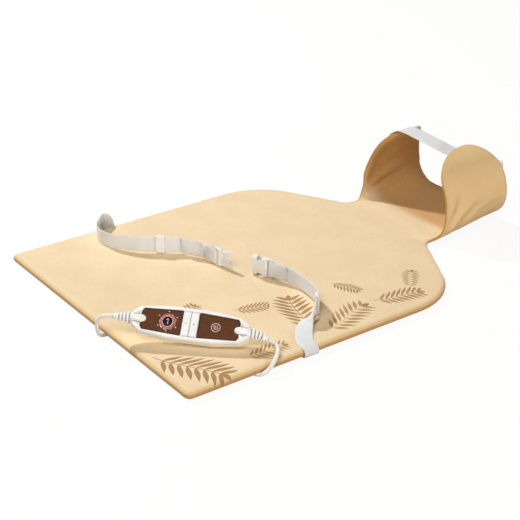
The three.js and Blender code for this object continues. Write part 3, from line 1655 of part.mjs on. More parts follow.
function beltAssembly() {
  const group = new THREE.Group();
  group.add(
    piece('left_belt_webbing', ribbon(leftBeltRows(), webbingWidth, webbingThickness), whiteWebbing),
    piece('right_belt_webbing', ribbon(rightBeltRows(), webbingWidth, webbingThickness), whiteWebbing),
    placed(piece('belt_slider', sliderLoop(sliderLength), whitePlastic), sliderPlace),
    placed(piece('belt_adjuster', sliderLoop(adjusterLength), whitePlastic), adjusterPlace),
    placed(piece('buckle_plug', bucklePlug(), whitePlastic), bucklePlace),
    placed(piece('buckle_socket', buckleSocket(), whitePlastic), socketPlace),
  );
  return group;
}

function controllerAssembly() {
  const group = new THREE.Group();
  const buttonX = barWidth / 4 - clearance / 4;
  const padRelief = strainRelief(0).rotateZ(Math.PI);
  group.add(
    piece('controller_upper_housing', upperHousing(), whitePlastic),
    piece('controller_lower_housing', lowerHousing(), whitePlastic),
    piece('display_window', displayWindow(), brownPanel),
    piece('plain_window', windowPlate(), brownPanel),
    piece('level_ring', levelRing(), redRing),
    piece('display_lens', displayLens(), clearLens),
    piece('minus_button', pushButton().translate(-buttonX, 0, 0), whitePlastic),
    piece('plus_button', pushButton().translate(buttonX, 0, 0), whitePlastic),
    piece('minus_switch', tactSwitch().translate(-buttonX, 0, 0), blackPlastic),
    piece('plus_switch', tactSwitch().translate(buttonX, 0, 0), blackPlastic),
    piece('circuit_board', circuitBoard(), boardGreen),
    piece('digit_display', block(10, 12, 4.6, 1).translate(ringAcross, 0, 0), blackPlastic),
    piece('control_chip', block(9, 9, 1.6, 0.5).translate(18, 6, 0), blackPlastic),
    piece('power_switch', block(8, 6, 4, 0.6).translate(38, 1, 0), blackPlastic),
    piece('fuse', fuse().translate(24, -11, 0), steel),
    piece('capacitor', capacitor().translate(28, 8, 0), blackPlastic),
    piece('mains_strain_relief', strainRelief(reliefBend), whitePlastic),
    piece('pad_strain_relief', padRelief, whitePlastic),
  );
  bossPlaces().forEach((place, i) => {
    group.add(piece(`housing_screw_${i + 1}`, housingScrew(place), steel));
  });
  group.position.set(controllerAcross, controllerAlong, controllerHeight);
  group.rotation.set(radians(controllerRoll), radians(controllerPitch), radians(controllerYaw), 'ZYX');
  return group;
}

function cordAssembly() {
  const group = new THREE.Group();
  group.add(
    piece('pad_cord', cordTube(padCordPoints), cordJacket),
    piece('mains_cord', cordTube(mainsCordPoints), cordJacket),
    piece('mains_coil', coilTube(), cordJacket),
    piece('coil_tie', coilTie(), blackPlastic),
    piece('mains_cord_tail', cordTail(), cordJacket),
    piece('mains_plug_relief', placeAtPlug(plugRelief()), cordJacket),
    piece('mains_plug_body', placeAtPlug(plugBody()), whitePlastic),
    piece('mains_plug_pin_1', placeAtPlug(plugPin(-1)), brass),
    piece('mains_plug_pin_2', placeAtPlug(plugPin(1)), brass),
  );
  return group;
}

const heatingPad = new THREE.Group();
heatingPad.name = 'heating_pad';
heatingPad.add(padAssembly(), collarAssembly(), beltAssembly(), controllerAssembly(), cordAssembly());
heatingPad.position.y = -totalLength / 2;

export default heatingPad;
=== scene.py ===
import math

import bmesh
import bpy
import numpy as np
from mathutils import Matrix, Vector


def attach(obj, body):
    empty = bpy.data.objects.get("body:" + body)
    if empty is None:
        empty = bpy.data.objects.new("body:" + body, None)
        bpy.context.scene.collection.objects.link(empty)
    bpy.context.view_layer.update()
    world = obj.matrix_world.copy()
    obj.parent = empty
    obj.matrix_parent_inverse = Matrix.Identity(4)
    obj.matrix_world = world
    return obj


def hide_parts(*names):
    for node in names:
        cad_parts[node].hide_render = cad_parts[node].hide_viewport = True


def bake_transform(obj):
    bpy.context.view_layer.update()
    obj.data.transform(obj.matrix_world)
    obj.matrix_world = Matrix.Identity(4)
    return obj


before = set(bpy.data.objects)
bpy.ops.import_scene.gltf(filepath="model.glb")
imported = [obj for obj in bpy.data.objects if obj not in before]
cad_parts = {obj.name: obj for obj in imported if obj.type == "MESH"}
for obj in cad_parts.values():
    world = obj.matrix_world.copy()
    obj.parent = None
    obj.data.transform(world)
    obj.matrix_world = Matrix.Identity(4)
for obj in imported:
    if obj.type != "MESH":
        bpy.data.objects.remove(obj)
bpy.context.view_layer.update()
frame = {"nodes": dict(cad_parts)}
nodes = frame["nodes"]

# Lengths are in millimetres, with y counted from the hem of the pad, unless a comment says otherwise
LENGTH = 610.0
HALF = 210.0
SIDE = 336.0
SHOULDER = 93.0
SHOULDER_TURN = math.radians(61)
NECK_HALF = 80.0
FILLET = 16.0
HEM_CORNER = 8.0
THICK = 12.0


def place(p):
    """Millimetres from the hem to metres in the row frame."""
    return Vector((p[0] / 1000, (p[1] - LENGTH / 2) / 1000, p[2] / 1000))


def linked(name, data):
    obj = bpy.data.objects.new(name, data)
    bpy.context.scene.collection.objects.link(obj)
    return obj


def face_along(obj, way):
    obj.rotation_mode = "QUATERNION"
    obj.rotation_quaternion = way.to_track_quat("-Z", "Y")


# Camera
scene = bpy.context.scene
cam_data = bpy.data.cameras.new("camera")
cam_data.sensor_width = 36
cam_data.lens = 88.4
cam_data.clip_start = 0.05
cam_data.clip_end = 50
cam = linked("camera", cam_data)
cam.location = place((1186.7, -615.7, 747.7))
face_along(cam, place((-22.6, 264.9, 0)) - cam.location)
scene.camera = cam
scene.view_settings.view_transform = "Standard"

# Lamps, with places and sizes in metres
WHITE_LIGHT = (0.98, 0.99, 1.0)
WARM_LIGHT = (1.0, 0.95, 0.86)


def lamp(name, at, size, power, colour):
    data = bpy.data.lights.new(name, "AREA")
    data.shape = "DISK"
    data.size = size
    data.energy = power
    data.color = colour
    obj = linked(name, data)
    obj.location = at
    face_along(obj, -Vector(at))


lamp("key", (-1.75, -0.3, 1.6), 0.16, 43.5, WHITE_LIGHT)
lamp("front", (0.9, -1.4, 1.9), 1.3, 28, WHITE_LIGHT)
lamp("side", (2.4, 0.2, 0.3), 0.35, 22, WARM_LIGHT)


# Material helpers
class Value:
    """A value in a node tree that takes plain arithmetic."""

    def __init__(self, nodes, socket):
        self.nodes = nodes
        self.socket = socket

    def op(self, kind, other=0.0):
        return self.nodes.math(kind, self, other)

    def __rsub__(self, other):
        return self.nodes.math("SUBTRACT", other, self)


def operator(kind):
    return lambda value, other=0.0: value.op(kind, other)


for name, kind in (("add", "ADD"), ("sub", "SUBTRACT"), ("mul", "MULTIPLY"), ("truediv", "DIVIDE"),
                   ("lt", "LESS_THAN"), ("gt", "GREATER_THAN"), ("abs", "ABSOLUTE")):
    setattr(Value, f"__{name}__", operator(kind))


class Nodes:
    """A node tree with short calls that add nodes."""

    def __init__(self, tree):
        self.tree = tree

    def put(self, socket, value):
        if isinstance(value, Value):
            self.tree.links.new(value.socket, socket)
        elif socket.type == "RGBA":
            socket.default_value = (*value, 1)
        else:
            socket.default_value = value

    def add(self, kind, inputs, output=0, **settings):
        """Adds a node, fills its inputs and gives one of its outputs."""
        n = self.tree.nodes.new(kind)
        for key, value in settings.items():
            setattr(n, key, value)
        for key, value in inputs.items():
            self.put(n.inputs[key], value)
        return Value(self, n.outputs[output])

    def all_of(self, value):
        """All outputs of the node that gives a value."""
        return [Value(self, output) for output in value.socket.node.outputs]

    def math(self, op, a, b=0.0):
        return self.add("ShaderNodeMath", {0: a, 1: b}, operation=op)

    def vec(self, op, a, b):
        """Vector arithmetic; b is a number for SCALE and a vector for the rest."""
        socket = "Scale" if op == "SCALE" else 1
        output = "Value" if op == "DISTANCE" else "Vector"
        return self.add("ShaderNodeVectorMath", {0: a, socket: b}, output, operation=op)

    def mix(self, factor, a, b, kind="RGBA"):
        first, result = (6, 2) if kind == "RGBA" else (4, 1)
        return self.add("ShaderNodeMix", {0: factor, first: a, first + 1: b}, result, data_type=kind)

    def ramp(self, value, low, high):
        inputs = {"Value": value, "From Min": low, "From Max": high}
        return self.add("ShaderNodeMapRange", inputs, "Result", interpolation_type="SMOOTHSTEP")

    def split(self, value):
        return self.all_of(self.add("ShaderNodeSeparateXYZ", {0: value}))

    def noise(self, where, scale, detail=2.0, rough=0.5):
        inputs = {"Vector": where, "Scale": scale, "Detail": detail, "Roughness": rough}
        return self.add("ShaderNodeTexNoise", inputs, "Fac")

    def object_place(self):
        return self.add("ShaderNodeTexCoord", {}, "Object")

    def uv(self, name):
        return self.add("ShaderNodeUVMap", {}, "UV", uv_map=name)


class Mat(Nodes):
    """A node material with a Principled shader."""

    def __init__(self, name, colour, rough):
        self.material = bpy.data.materials.new(name)
        self.material.use_nodes = True
        super().__init__(self.material.node_tree)
        self.set("Base Color", colour)
        self.set("Roughness", rough)

    def set(self, name, value):
        self.put(self.tree.nodes["Principled BSDF"].inputs[name], value)

    def bump(self, height, distance, strength):
        inputs = {"Height": height, "Distance": distance, "Strength": strength}
        self.set("Normal", self.add("ShaderNodeBump", inputs))


def srgb(r, g, b):
    return tuple(((v / 255 + 0.055) / 1.055) ** 2.4 if v > 10 else v / 3294.6 for v in (r, g, b))


# Fleece of the pad and collar. The leaf sprigs are printed along the right side: centre, turn in degrees,
# half length, share of the dark tone
SPRIGS = [
    (62, 96, 118, 27, 0.25), (166, 34, 24, 50, 0.3), (96, 168, 62, 25, 0.2), (138, 205, 155, 47, 0.35),
    (180, 245, 100, 44, 0.85), (120, 292, 15, 22, 0.25), (176, 330, 70, 36, 0.4), (150, 372, 128, 26, 0.9),
    (186, 122, 80, 30, 0.8), (28, 38, 40, 24, 0.7),
]
# Shares of a sprig's half length: from leaf to leaf, their lean, where they end, their longest and half width
LEAF_PITCH, LEAF_LEAN, LEAF_END, LEAF_REACH, LEAF_HALF = 0.2, 0.75, 0.72, 0.52, 0.072
TIP_FROM, TIP_LONG, TIP_HALF = 0.7, 0.3, 0.075
PRINT_SHARE = 0.96


def nearest_sprig(m, flat):
    """Centre of the nearest sprig, and its turn, half length in metres and share of the dark tone."""
    best, centre, facts = 9.0, (9.0, 9.0, 0.0), (0.0, 1.0, 0.0)
    for x, y, turn, size, dark in SPRIGS:
        here = (x / 1000, y / 1000, 0.0)
        gap = m.vec("DISTANCE", flat, here) / (size / 1000)
        near = gap < best
        centre = m.mix(near, centre, here, "VECTOR")
        facts = m.mix(near, facts, (math.radians(turn), size / 1000, dark), "VECTOR")
        best = gap.op("MINIMUM", best)
    return centre, m.split(facts)


def sprig_print(m, flat, cloth):
    """Lays the sprigs over the cloth's colour: leaves with a rim, a vein and ribs, an end leaf and a stem."""
    centre, (turn, size, dark) = nearest_sprig(m, flat)
    inputs = {"Vector": m.vec("SUBTRACT", flat, centre), "Angle": turn * -1.0}
    upright = m.add("ShaderNodeVectorRotate", inputs, rotation_type="Z_AXIS")
    along, aside, _ = m.split(m.vec("SCALE", upright, m.math("DIVIDE", 1.0, size)))
    across = abs(aside - (along * 2.3).op("SINE") * 0.09)
    step = (along - across * LEAF_LEAN) / LEAF_PITCH
    leaf = (step.op("FLOOR") + 0.5) * LEAF_PITCH
    off = abs((step.op("FRACT") - 0.5) * LEAF_PITCH)
    shape = 1.0 - abs(leaf + 0.05).op("POWER", 2.0)
    reach = shape.op("MAXIMUM", 0.0).op("SQRT") * LEAF_REACH
    share = across / reach.op("MAXIMUM", 0.01)
    half = (share.op("POWER", 0.8) * math.pi).op("SINE") * LEAF_HALF
    within = (share < 1.0) * (leaf < LEAF_END) * (leaf > -LEAF_END)
    fill = m.ramp(half - off, 0.0, 0.006) * within
    rim = fill * (1.0 - m.ramp(half - off, 0.016, 0.026))
    vein = fill * (1.0 - m.ramp(off, 0.007, 0.014))
    rib = ((across - off * 1.6) * 22.0).op("FRACT")
    ribs = fill * (rib < 0.32) * 0.7
    tip = (along - TIP_FROM) / TIP_LONG
    tip_half = (tip * math.pi).op("SINE") * TIP_HALF
    end_leaf = m.ramp(tip_half - across, 0.0, 0.006) * ((tip > 0.0) * (tip < 1.0))
    stem = (1.0 - m.ramp(across, 0.009, 0.016)) * (along < 0.9) * (along > -0.98)
    lines = rim.op("MAXIMUM", vein).op("MAXIMUM", stem.op("MAXIMUM", ribs))
    light = m.mix(dark, srgb(206, 160, 98), srgb(112, 68, 30))
    deep = m.mix(dark, srgb(104, 62, 26), srgb(232, 202, 150))
    cloth = m.mix(fill.op("MAXIMUM", end_leaf) * PRINT_SHARE, cloth, light)
    return m.mix(lines * PRINT_SHARE, cloth, deep)


def collar_painted_shade(m, flat):
    """Share of painted shade inside the collar: on the curl of the lobes and on the collar's floor, standing
    in for their shade and shadow.
    """
    across, along, _ = m.split(flat)
    curl = m.ramp(abs(across), 0.072, 0.112) * m.ramp(along, 0.474, 0.5)
    return curl.op("MAXIMUM", m.ramp(along, 0.498, 0.52) * 0.95) * 0.85


def fleece(name, printed):
    """The cloth, with the print and painted shade inside the collar on the top side, and painted shade along
    the hem.
    """
    m = Mat(name, srgb(241, 216, 174), 0.92)
    m.set("Specular IOR Level", 0.08)
    m.set("Sheen Weight", 0.45)
    m.set("Sheen Roughness", 0.45)
    m.set("Sheen Tint", srgb(255, 240, 214))
    flat = m.uv("flat")
    pile = m.noise(flat, 900, 3, 0.6)
    tuft = m.noise(flat, 260)
    cloud = m.noise(flat, 22, 3)
    cloth = m.mix(m.ramp(cloud, 0.35, 0.65), srgb(241, 217, 178), srgb(244, 222, 184))
    if printed:
        # painted shade: the inside of the collar is darkened towards srgb(204, 150, 80) in place of the
        # lobes' shade and the left lobe's shadow
        cloth = m.mix(collar_painted_shade(m, flat), cloth, srgb(204, 150, 80))
    else:
        # painted shade: the unprinted outer side is the same cloth, made darker and warmer as it looks in
        # shade
        cloth = m.mix(0.55, cloth, srgb(232, 188, 120))
    cloth = m.mix(m.ramp(tuft, 0.5, 0.75) * 0.3, cloth, srgb(229, 197, 147))
    cloth = m.mix(m.ramp(pile, 0.5, 0.8) * 0.35, cloth, srgb(212, 176, 124))
    rim = m.split(m.uv("rim"))[0]
    # painted shade: darker towards the edge of the cover, where it rounds away from the light; the thin dark
    # line at the very edge is the hem seam with painted shade on it
    cloth = m.mix((1.0 - m.ramp(rim, 0.0, 0.006)) * 0.6, cloth, srgb(220, 174, 104))
    cloth = m.mix((1.0 - m.ramp(rim, 0.0003, 0.0014)) * 0.55, cloth, srgb(158, 112, 58))
    if printed:
        cloth = sprig_print(m, flat, cloth)
    m.set("Base Color", cloth)
    m.bump(pile * 0.6 + tuft * 0.7, 0.0006, 0.7)
    return m.material


def webbing(name, rib, cross):
    """White woven tape; rib and cross are the weave's steps in metres, along and across the tape."""
    m = Mat(name, srgb(240, 240, 238), 0.62)
    m.set("Specular IOR Level", 0.35)
    m.set("Sheen Weight", 0.2)
    m.set("Subsurface Weight", 0.35)
    m.set("Subsurface Radius", (1, 1, 1))
    m.set("Subsurface Scale", 0.002)
    across, along, _ = m.split(m.uv("run"))
    warp = (along * (2 * math.pi / rib)).op("SINE")
    weft = (across * (2 * math.pi / cross)).op("SINE")
    weave = (warp * weft + 1.0) * 0.5
    fuzz = m.noise(m.object_place(), 700)
    light = m.mix(weave, srgb(222, 225, 230), srgb(242, 244, 248))
    m.set("Base Color", m.mix(fuzz * 0.12, light, srgb(205, 204, 204)))
    m.bump(weave + fuzz * 0.3, 0.0003, 0.6)
    return m.material


def moulded(name, colour, rough, grain=1400, depth=0.00003, coat=0.0):
    m = Mat(name, colour, rough)
    m.set("Coat Weight", coat)
    where = m.object_place()
    cloud = m.noise(where, 45, 3)
    dim = tuple(v * 0.93 for v in colour)
    m.set("Base Color", m.mix(m.ramp(cloud, 0.4, 0.75), colour, dim))
    m.set("Roughness", cloud * 0.14 + (rough - 0.07))
    m.bump(m.noise(where, grain), depth, 0.5)
    return m.material


def metal(name, colour, rough):
    m = Mat(name, colour, rough)
    m.set("Metallic", 1.0)
    stretch = m.vec("MULTIPLY", m.object_place(), (400.0, 400.0, 4000.0))
    brushed = m.noise(stretch, 1, 3)
    m.set("Roughness", brushed * 0.2 + (rough - 0.1))
    m.bump(brushed, 0.00002, 0.4)
    return m.material


def window_panel(name, tint, edge_tint):
    m = Mat(name, tint, 0.36)
    m.set("Specular IOR Level", 0.06)
    grain = m.noise(m.object_place(), 260, 4, 0.65)
    m.set("Base Color", m.mix(m.ramp(grain, 0.3, 0.8), tint, edge_tint))
    m.bump(grain, 0.00002, 0.3)
    return m.material


fleece_print = fleece("fleece_print", True)
fleece_plain_shaded = fleece("fleece_plain_shaded", False)
tape_white = webbing("tape_white", 0.0011, 0.0014)
strap_white = webbing("strap_white", 0.0016, 0.0009)
plastic_white = moulded("plastic_white", srgb(240, 241, 243), 0.36, coat=0.15)
plastic_housing = moulded("plastic_housing", srgb(250, 249, 247), 0.3, 900, 0.00002, coat=0.25)
plastic_button = moulded("plastic_button", srgb(243, 243, 245), 0.38, 1200, coat=0.1)
plastic_grey = moulded("plastic_grey", srgb(150, 146, 144), 0.45)
# painted shade: grey for the faces of the grooves between the relief's ribs, in place of the shade inside
# them
plastic_painted_shade = moulded("plastic_painted_shade", srgb(168, 166, 166), 0.6)
plastic_black = moulded("plastic_black", srgb(30, 28, 27), 0.45)
plastic_red = moulded("plastic_red", srgb(150, 16, 16), 0.3, coat=0.4)
plastic_scarlet = moulded("plastic_scarlet", srgb(226, 48, 42), 0.28, coat=0.5)
plastic_pale = moulded("plastic_pale", srgb(232, 216, 198), 0.4)
cord_white = moulded("cord_white", srgb(240, 238, 232), 0.42, 500, 0.00004)
board_green = moulded("board_green", srgb(44, 104, 58), 0.5)
steel = metal("steel", (0.55, 0.55, 0.56), 0.32)
brass = metal("brass", (0.78, 0.6, 0.3), 0.28)
window_brown = window_panel("window_brown", srgb(100, 58, 28), srgb(88, 50, 23))
window_rim = window_panel("window_rim", srgb(34, 21, 15), srgb(26, 16, 12))
lens_dark = window_panel("lens_dark", srgb(24, 16, 14), srgb(16, 10, 9))


# Mesh helpers. A solid is a pair of vertices and faces
def new_mesh(name, solid, *materials, smooth=True):
    data = bpy.data.meshes.new(name)
    data.from_pydata([tuple(v) for v in solid[0]], [], solid[1])
    for material in materials:
        data.materials.append(material)
    for poly in data.polygons:
        poly.use_smooth = smooth
    return linked(name, data)


def add_uv(data, name, spots):
    """A map with one spot for each vertex."""
    layer = data.uv_layers.new(name=name)
    for loop in data.loops:
        layer.data[loop.index].uv = spots[loop.vertex_index]


def clean(obj, distance):
    """Merges doubled points and turns the faces outward."""
    bm = bmesh.new()
    bm.from_mesh(obj.data)
    bmesh.ops.remove_doubles(bm, verts=bm.verts, dist=distance)
    bmesh.ops.dissolve_degenerate(bm, edges=bm.edges, dist=distance)
    bmesh.ops.recalc_face_normals(bm, faces=bm.faces)
    bm.to_mesh(obj.data)
    bm.free()


def apply_all(obj):
    """Applies an object's modifiers."""
    graph = bpy.context.evaluated_depsgraph_get()
    data = bpy.data.meshes.new_from_object(obj.evaluated_get(graph), depsgraph=graph)
    old = obj.data
    obj.modifiers.clear()
    obj.data = data
    bpy.data.meshes.remove(old)


def cut(obj, solids, material):
    """Cuts solids out of a piece; the cut faces take the material if the piece has it."""
    cutters = []
    for solid in solids:
        cutter = new_mesh(f"{obj.name}_cutter", solid, material)
        clean(cutter, 1e-6)
        mod = obj.modifiers.new(cutter.name, "BOOLEAN")
        mod.operation = "DIFFERENCE"
        mod.solver = "EXACT"
        mod.object = cutter
        cutters.append(cutter)
    apply_all(obj)
    for cutter in cutters:
        bpy.data.objects.remove(cutter)


def loft(rings, closed=False):
    """A solid through rings of points, capped at both ends or closed on itself."""
    count = len(rings[0])
    verts = [p for ring in rings for p in ring]
    faces = []
    for r in range(len(rings) if closed else len(rings) - 1):
        a0 = r * count
        b0 = (r + 1) % len(rings) * count
        for s in range(count):
            t = (s + 1) % count
            faces.append((a0 + s, a0 + t, b0 + t, b0 + s))
    if not closed:
        faces.append(tuple(reversed(range(count))))
        faces.append(tuple(range(len(verts) - count, len(verts))))
    return verts, faces


def rounded(corners, radius, inset, steps):
    """A counter-clockwise polygon moved inward, with rounded corners."""
    pts = [Vector(c) for c in corners]
    n = len(pts)
    head = [(pts[(i + 1) % n] - pts[i]).normalized() for i in range(n)]
    inward = [Vector((-h.y, h.x)) for h in head]
    inner = []
    for i in range(n):
        k = 1 + inward[i - 1].dot(inward[i])
        inner.append(pts[i] + (inward[i - 1] + inward[i]) * (inset / k))
    out = []
    for i in range(n):
        before = head[i - 1]
        after = head[i]
        turn = math.atan2(before.x * after.y - before.y * after.x, before.dot(after))
        side = math.copysign(1, turn)
        reach = min((inner[i] - inner[i - 1]).length, (inner[(i + 1) % n] - inner[i]).length)
        slope = math.tan(abs(turn) / 2)
        used = min(max(radius - side * inset, 0.001 * radius), reach * 0.48 / slope)
        start = inner[i] - before * (used * slope)
        centre = start + inward[i - 1] * (side * used)
        a0 = math.atan2(-side * inward[i - 1].y, -side * inward[i - 1].x)
        for k in range(steps + 1):
            a = a0 + turn * k / steps
            out.append((centre.x + used * math.cos(a), centre.y + used * math.sin(a)))
    return out


def rect(x0, x1, half):
    return [(x0, -half), (x1, -half), (x1, half), (x0, half)]


def stack(corners, radius, steps, levels):
    """A solid through rounded outlines, given as pairs of inset and height."""
    rings = []
    for inset, z in levels:
        rings.append([Vector((x, y, z)) for x, y in rounded(corners, radius, inset, steps)])
    return loft(rings)


def turned(profile, sides):
    """A solid round the Z axis through (radius, height) points; the ends lie on the axis."""
    rings = []
    for radius, z in profile[1:-1]:
        rings.append([Vector((radius * math.cos(a), radius * math.sin(a), z))
                      for a in (2 * math.pi * k / sides for k in range(sides))])
    return loft(rings)


def block(x0, x1, y0, y1, z0, z1):
    lower = [Vector((x0, y0, z0)), Vector((x1, y0, z0)), Vector((x1, y1, z0)), Vector((x0, y1, z0))]
    return loft([lower, [v + Vector((0, 0, z1 - z0)) for v in lower]])


def moved(solid, matrix):
    return [matrix @ v for v in solid[0]], solid[1]


def shifted(solid, x, y=0.0):
    return [v + Vector((x, y, 0)) for v in solid[0]], solid[1]


def turned_about(solid, degrees):
    return moved(solid, Matrix.Rotation(math.radians(degrees), 4, "Z"))


def joined(solids):
    verts, faces = [], []
    for v, f in solids:
        base = len(verts)
        verts += v
        faces += [tuple(i + base for i in face) for face in f]
    return verts, faces


# Cords, made first
CORD = 4.5
PAD_CORD = [
    (56.1, -0.8, 38.9), (53, -3.9, 38.9), (47.8, -9, 37.2), (43.4, -12.6, 32.6), (40.9, -13.2, 26),
    (38.6, -12.3, 18.8), (36, -10.2, 12.2), (34.3, -8, 7), (33.2, -4, 3.6), (32.6, 1, 2.5), (31.6, 9, 2.35),
    (28, 22, 2.35), (18, 42, 2.35), (0, 66, 2.35), (-26, 92, 2.35), (-58, 117, 2.35), (-92, 138, 2.35),
    (-124, 154, 2.35), (-150, 168, 2.35), (-165, 182, 2.35), (-171, 195, 2.35), (-172.2, 205.6, 2.35),
]
MAINS_CORD = [
    (186.1, 125.3, 25), (190.1, 127.4, 23.5), (194.2, 129.3, 21.7), (199.8, 127.9, 19.4),
    (205.8, 122.7, 17.6), (211.3, 115.4, 14), (214.4, 106.4, 8.8), (213.7, 100.3, 5), (211, 95, 2.65),
    (205.6, 91.4, 2.4), (198.5, 90.4, 2.35), (189.5, 92.6, 2.35), (180, 100, 2.35), (170, 113, 2.35),
    (159, 133, 2.35), (146, 164, 2.35), (132, 205, 2.35), (117, 255, 2.35), (102, 310, 2.35), (87, 365, 2.35),
    (72, 415, 2.35), (57, 462, 2.35), (43, 505, 2.35), (30, 545, 2.35), (20, 585, 2.35), (14.6, 616, 2.6),
    (13.1, 631, 3), (11.9, 640.2, 3.3), (10.94, 646.1, 3.35),
]
# The coil winds inward, climbs to its second layer and winds outward again, then its tail rises to the plug
COIL_X, COIL_Y, COIL_Z = -24.0, 656.0, 3.35
COIL_R, COIL_PITCH, COIL_TURNS, CLIMB_TURNS = 33.4, 5.1, 2.825, 0.5
COIL_TOTAL = 2 * COIL_TURNS + CLIMB_TURNS
TURN_POINTS = 48
TAIL, PLUG_Z = 24, 6.95


def coil_place(turns):
    inner = COIL_R - COIL_PITCH * COIL_TURNS
    radius = COIL_R - COIL_PITCH * turns
    climb = 0.0
    if turns > COIL_TURNS + CLIMB_TURNS:
        radius = inner + COIL_PITCH * (turns - COIL_TURNS - CLIMB_TURNS)
        climb = 1.0
    elif turns > COIL_TURNS:
        s = (turns - COIL_TURNS) / CLIMB_TURNS
        radius = inner - COIL_PITCH * 0.5 * s * (1 - s)
        climb = s * s * (3 - 2 * s)
    a = turns * 2 * math.pi
    return Vector((COIL_X + radius * math.cos(a), COIL_Y + radius * math.sin(a), COIL_Z + climb * COIL_PITCH))


def spline(points, steps):
    """Centripetal Catmull-Rom through the points."""
    p = [Vector(q) for q in points]
    p = [p[0] * 2 - p[1]] + p + [p[-1] * 2 - p[-2]]
    out = []
    for i in range(1, len(p) - 2):
        t = [0.0]
        for k in range(3):
            t.append(t[-1] + max((p[i + k] - p[i + k - 1]).length, 1e-6) ** 0.5)
        for s in range(steps):
            x = t[1] + (t[2] - t[1]) * s / steps
            a1 = p[i - 1].lerp(p[i], (x - t[0]) / (t[1] - t[0]))
            a2 = p[i].lerp(p[i + 1], (x - t[1]) / (t[2] - t[1]))
            a3 = p[i + 1].lerp(p[i + 2], (x - t[2]) / (t[3] - t[2]))
            b1 = a1.lerp(a2, (x - t[0]) / (t[2] - t[0]))
            b2 = a2.lerp(a3, (x - t[1]) / (t[3] - t[1]))
            out.append(b1.lerp(b2, (x - t[1]) / (t[2] - t[1])))
    out.append(p[-2].copy())
    return out


def length_of(points):
    return sum((b - a).length for a, b in zip(points, points[1:]))


def cord_curve(name, points):
    data = bpy.data.curves.new(name, "CURVE")
    data.dimensions = "3D"
    data.bevel_depth = CORD / 2000
    data.bevel_resolution = 6
    data.use_fill_caps = True
    data.resolution_u = 1
    line = data.splines.new("POLY")
    line.points.add(len(points) - 1)
    for point, p in zip(line.points, points):
        point.co = (*place(p), 1)
    data.materials.append(cord_white)
    obj = linked(name, data)
    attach(obj, "pad")
    return obj


pad_line = spline(PAD_CORD, 8)
pad_lead = cord_curve("pad_lead", pad_line)
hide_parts("pad_cord")
place(PAD_CORD[0])
length_of(pad_line) / 1000

coil_steps = round(COIL_TOTAL * TURN_POINTS)
wound = [coil_place(COIL_TOTAL * i / coil_steps) for i in range(coil_steps + 1)]
tail_way = wound[-1] - wound[-2]
tail_way.z = 0
tail_way.normalize()
tail_end = wound[-1] + tail_way * TAIL
tail_end.z = PLUG_Z
tail = [wound[-1], wound[-1] + tail_way * 9, tail_end - tail_way * 5, tail_end]
mains_line = spline(MAINS_CORD, 8)[:-1] + wound + spline(tail, 6)[1:]
mains_lead = cord_curve("mains_lead", mains_line)
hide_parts("mains_cord", "mains_coil", "mains_cord_tail")
place(MAINS_CORD[0])
length_of(mains_line) / 1000

# Pad and collar: one cover, worked out on its flat pattern
ARC_Y = SIDE + SHOULDER * math.sin(SHOULDER_TURN)
ARC_X = HALF - SHOULDER + SHOULDER * math.cos(SHOULDER_TURN)


def neck_corner():
    """Where the fillet between the shoulder's slope and the neck ends, as x of its middle and y."""
    x = NECK_HALF + FILLET
    run = (ARC_X + FILLET * math.cos(SHOULDER_TURN) - x) / math.sin(SHOULDER_TURN)
    return x, ARC_Y + run * math.cos(SHOULDER_TURN) + FILLET * math.sin(SHOULDER_TURN)


NECK_X, NECK = neck_corner()
FILLET_Y = NECK - FILLET * math.sin(SHOULDER_TURN)
COLLAR_HALF, FLOOR_Z, WALL_TOP = 84.0, 7.0, 45.0
FRONT_RISE, CORNER_FRONT = 20.0, 10.0
FLAT_CORNER = COLLAR_HALF - CORNER_FRONT
# Half the band's thickness, and the reach of the rounded edge on the pad, at the neck and on the band
BAND_HALF = 2.3
PAD_SOFT, NECK_SOFT, BAND_SOFT = 10.5, 3.5, 3.2
# How far before the neck the pad thins to the band and its sides rise, and the lowest point under the band
NECK_BLEND, SIDE_BLEND, LOWEST = 46, 14, 4.75
# The collar's right and left lobe: rise and reach of the curl, its turn in degrees, the tip's place along y,
# the share of the curl where the outline starts to round, two powers of that rounding, how far the front and
# back edges draw in along the curl and the back edge at the wall, and the corner's radius at the back
LOBES = {
    1: {"rise": 67.8, "reach": 82.0, "turn": 68.0, "tip": 568.6, "round_from": 0.45, "bulge": 1.61,
        "end": 0.5, "front_in": 3.4, "back_in": 0.0, "wall_in": 4.0, "corner": 44.3},
    -1: {"rise": 66.0, "reach": 40.0, "turn": 94.0, "tip": 546.0, "round_from": 0.44, "bulge": 1.32,
         "end": 0.5, "front_in": 39.2, "back_in": 23.6, "wall_in": 11.1, "corner": 34.3},
}


def half_width(y):
    if y < HEM_CORNER:
        return HALF - HEM_CORNER + math.sqrt(max(HEM_CORNER ** 2 - (HEM_CORNER - y) ** 2, 0))
    if y <= SIDE:
        return HALF
    if y <= ARC_Y:
        return HALF - SHOULDER + math.sqrt(SHOULDER ** 2 - (y - SIDE) ** 2)
    if y <= FILLET_Y:
        return ARC_X - (y - ARC_Y) * math.tan(SHOULDER_TURN)
    return NECK_X - math.sqrt(max(FILLET ** 2 - (NECK - y) ** 2, 0))


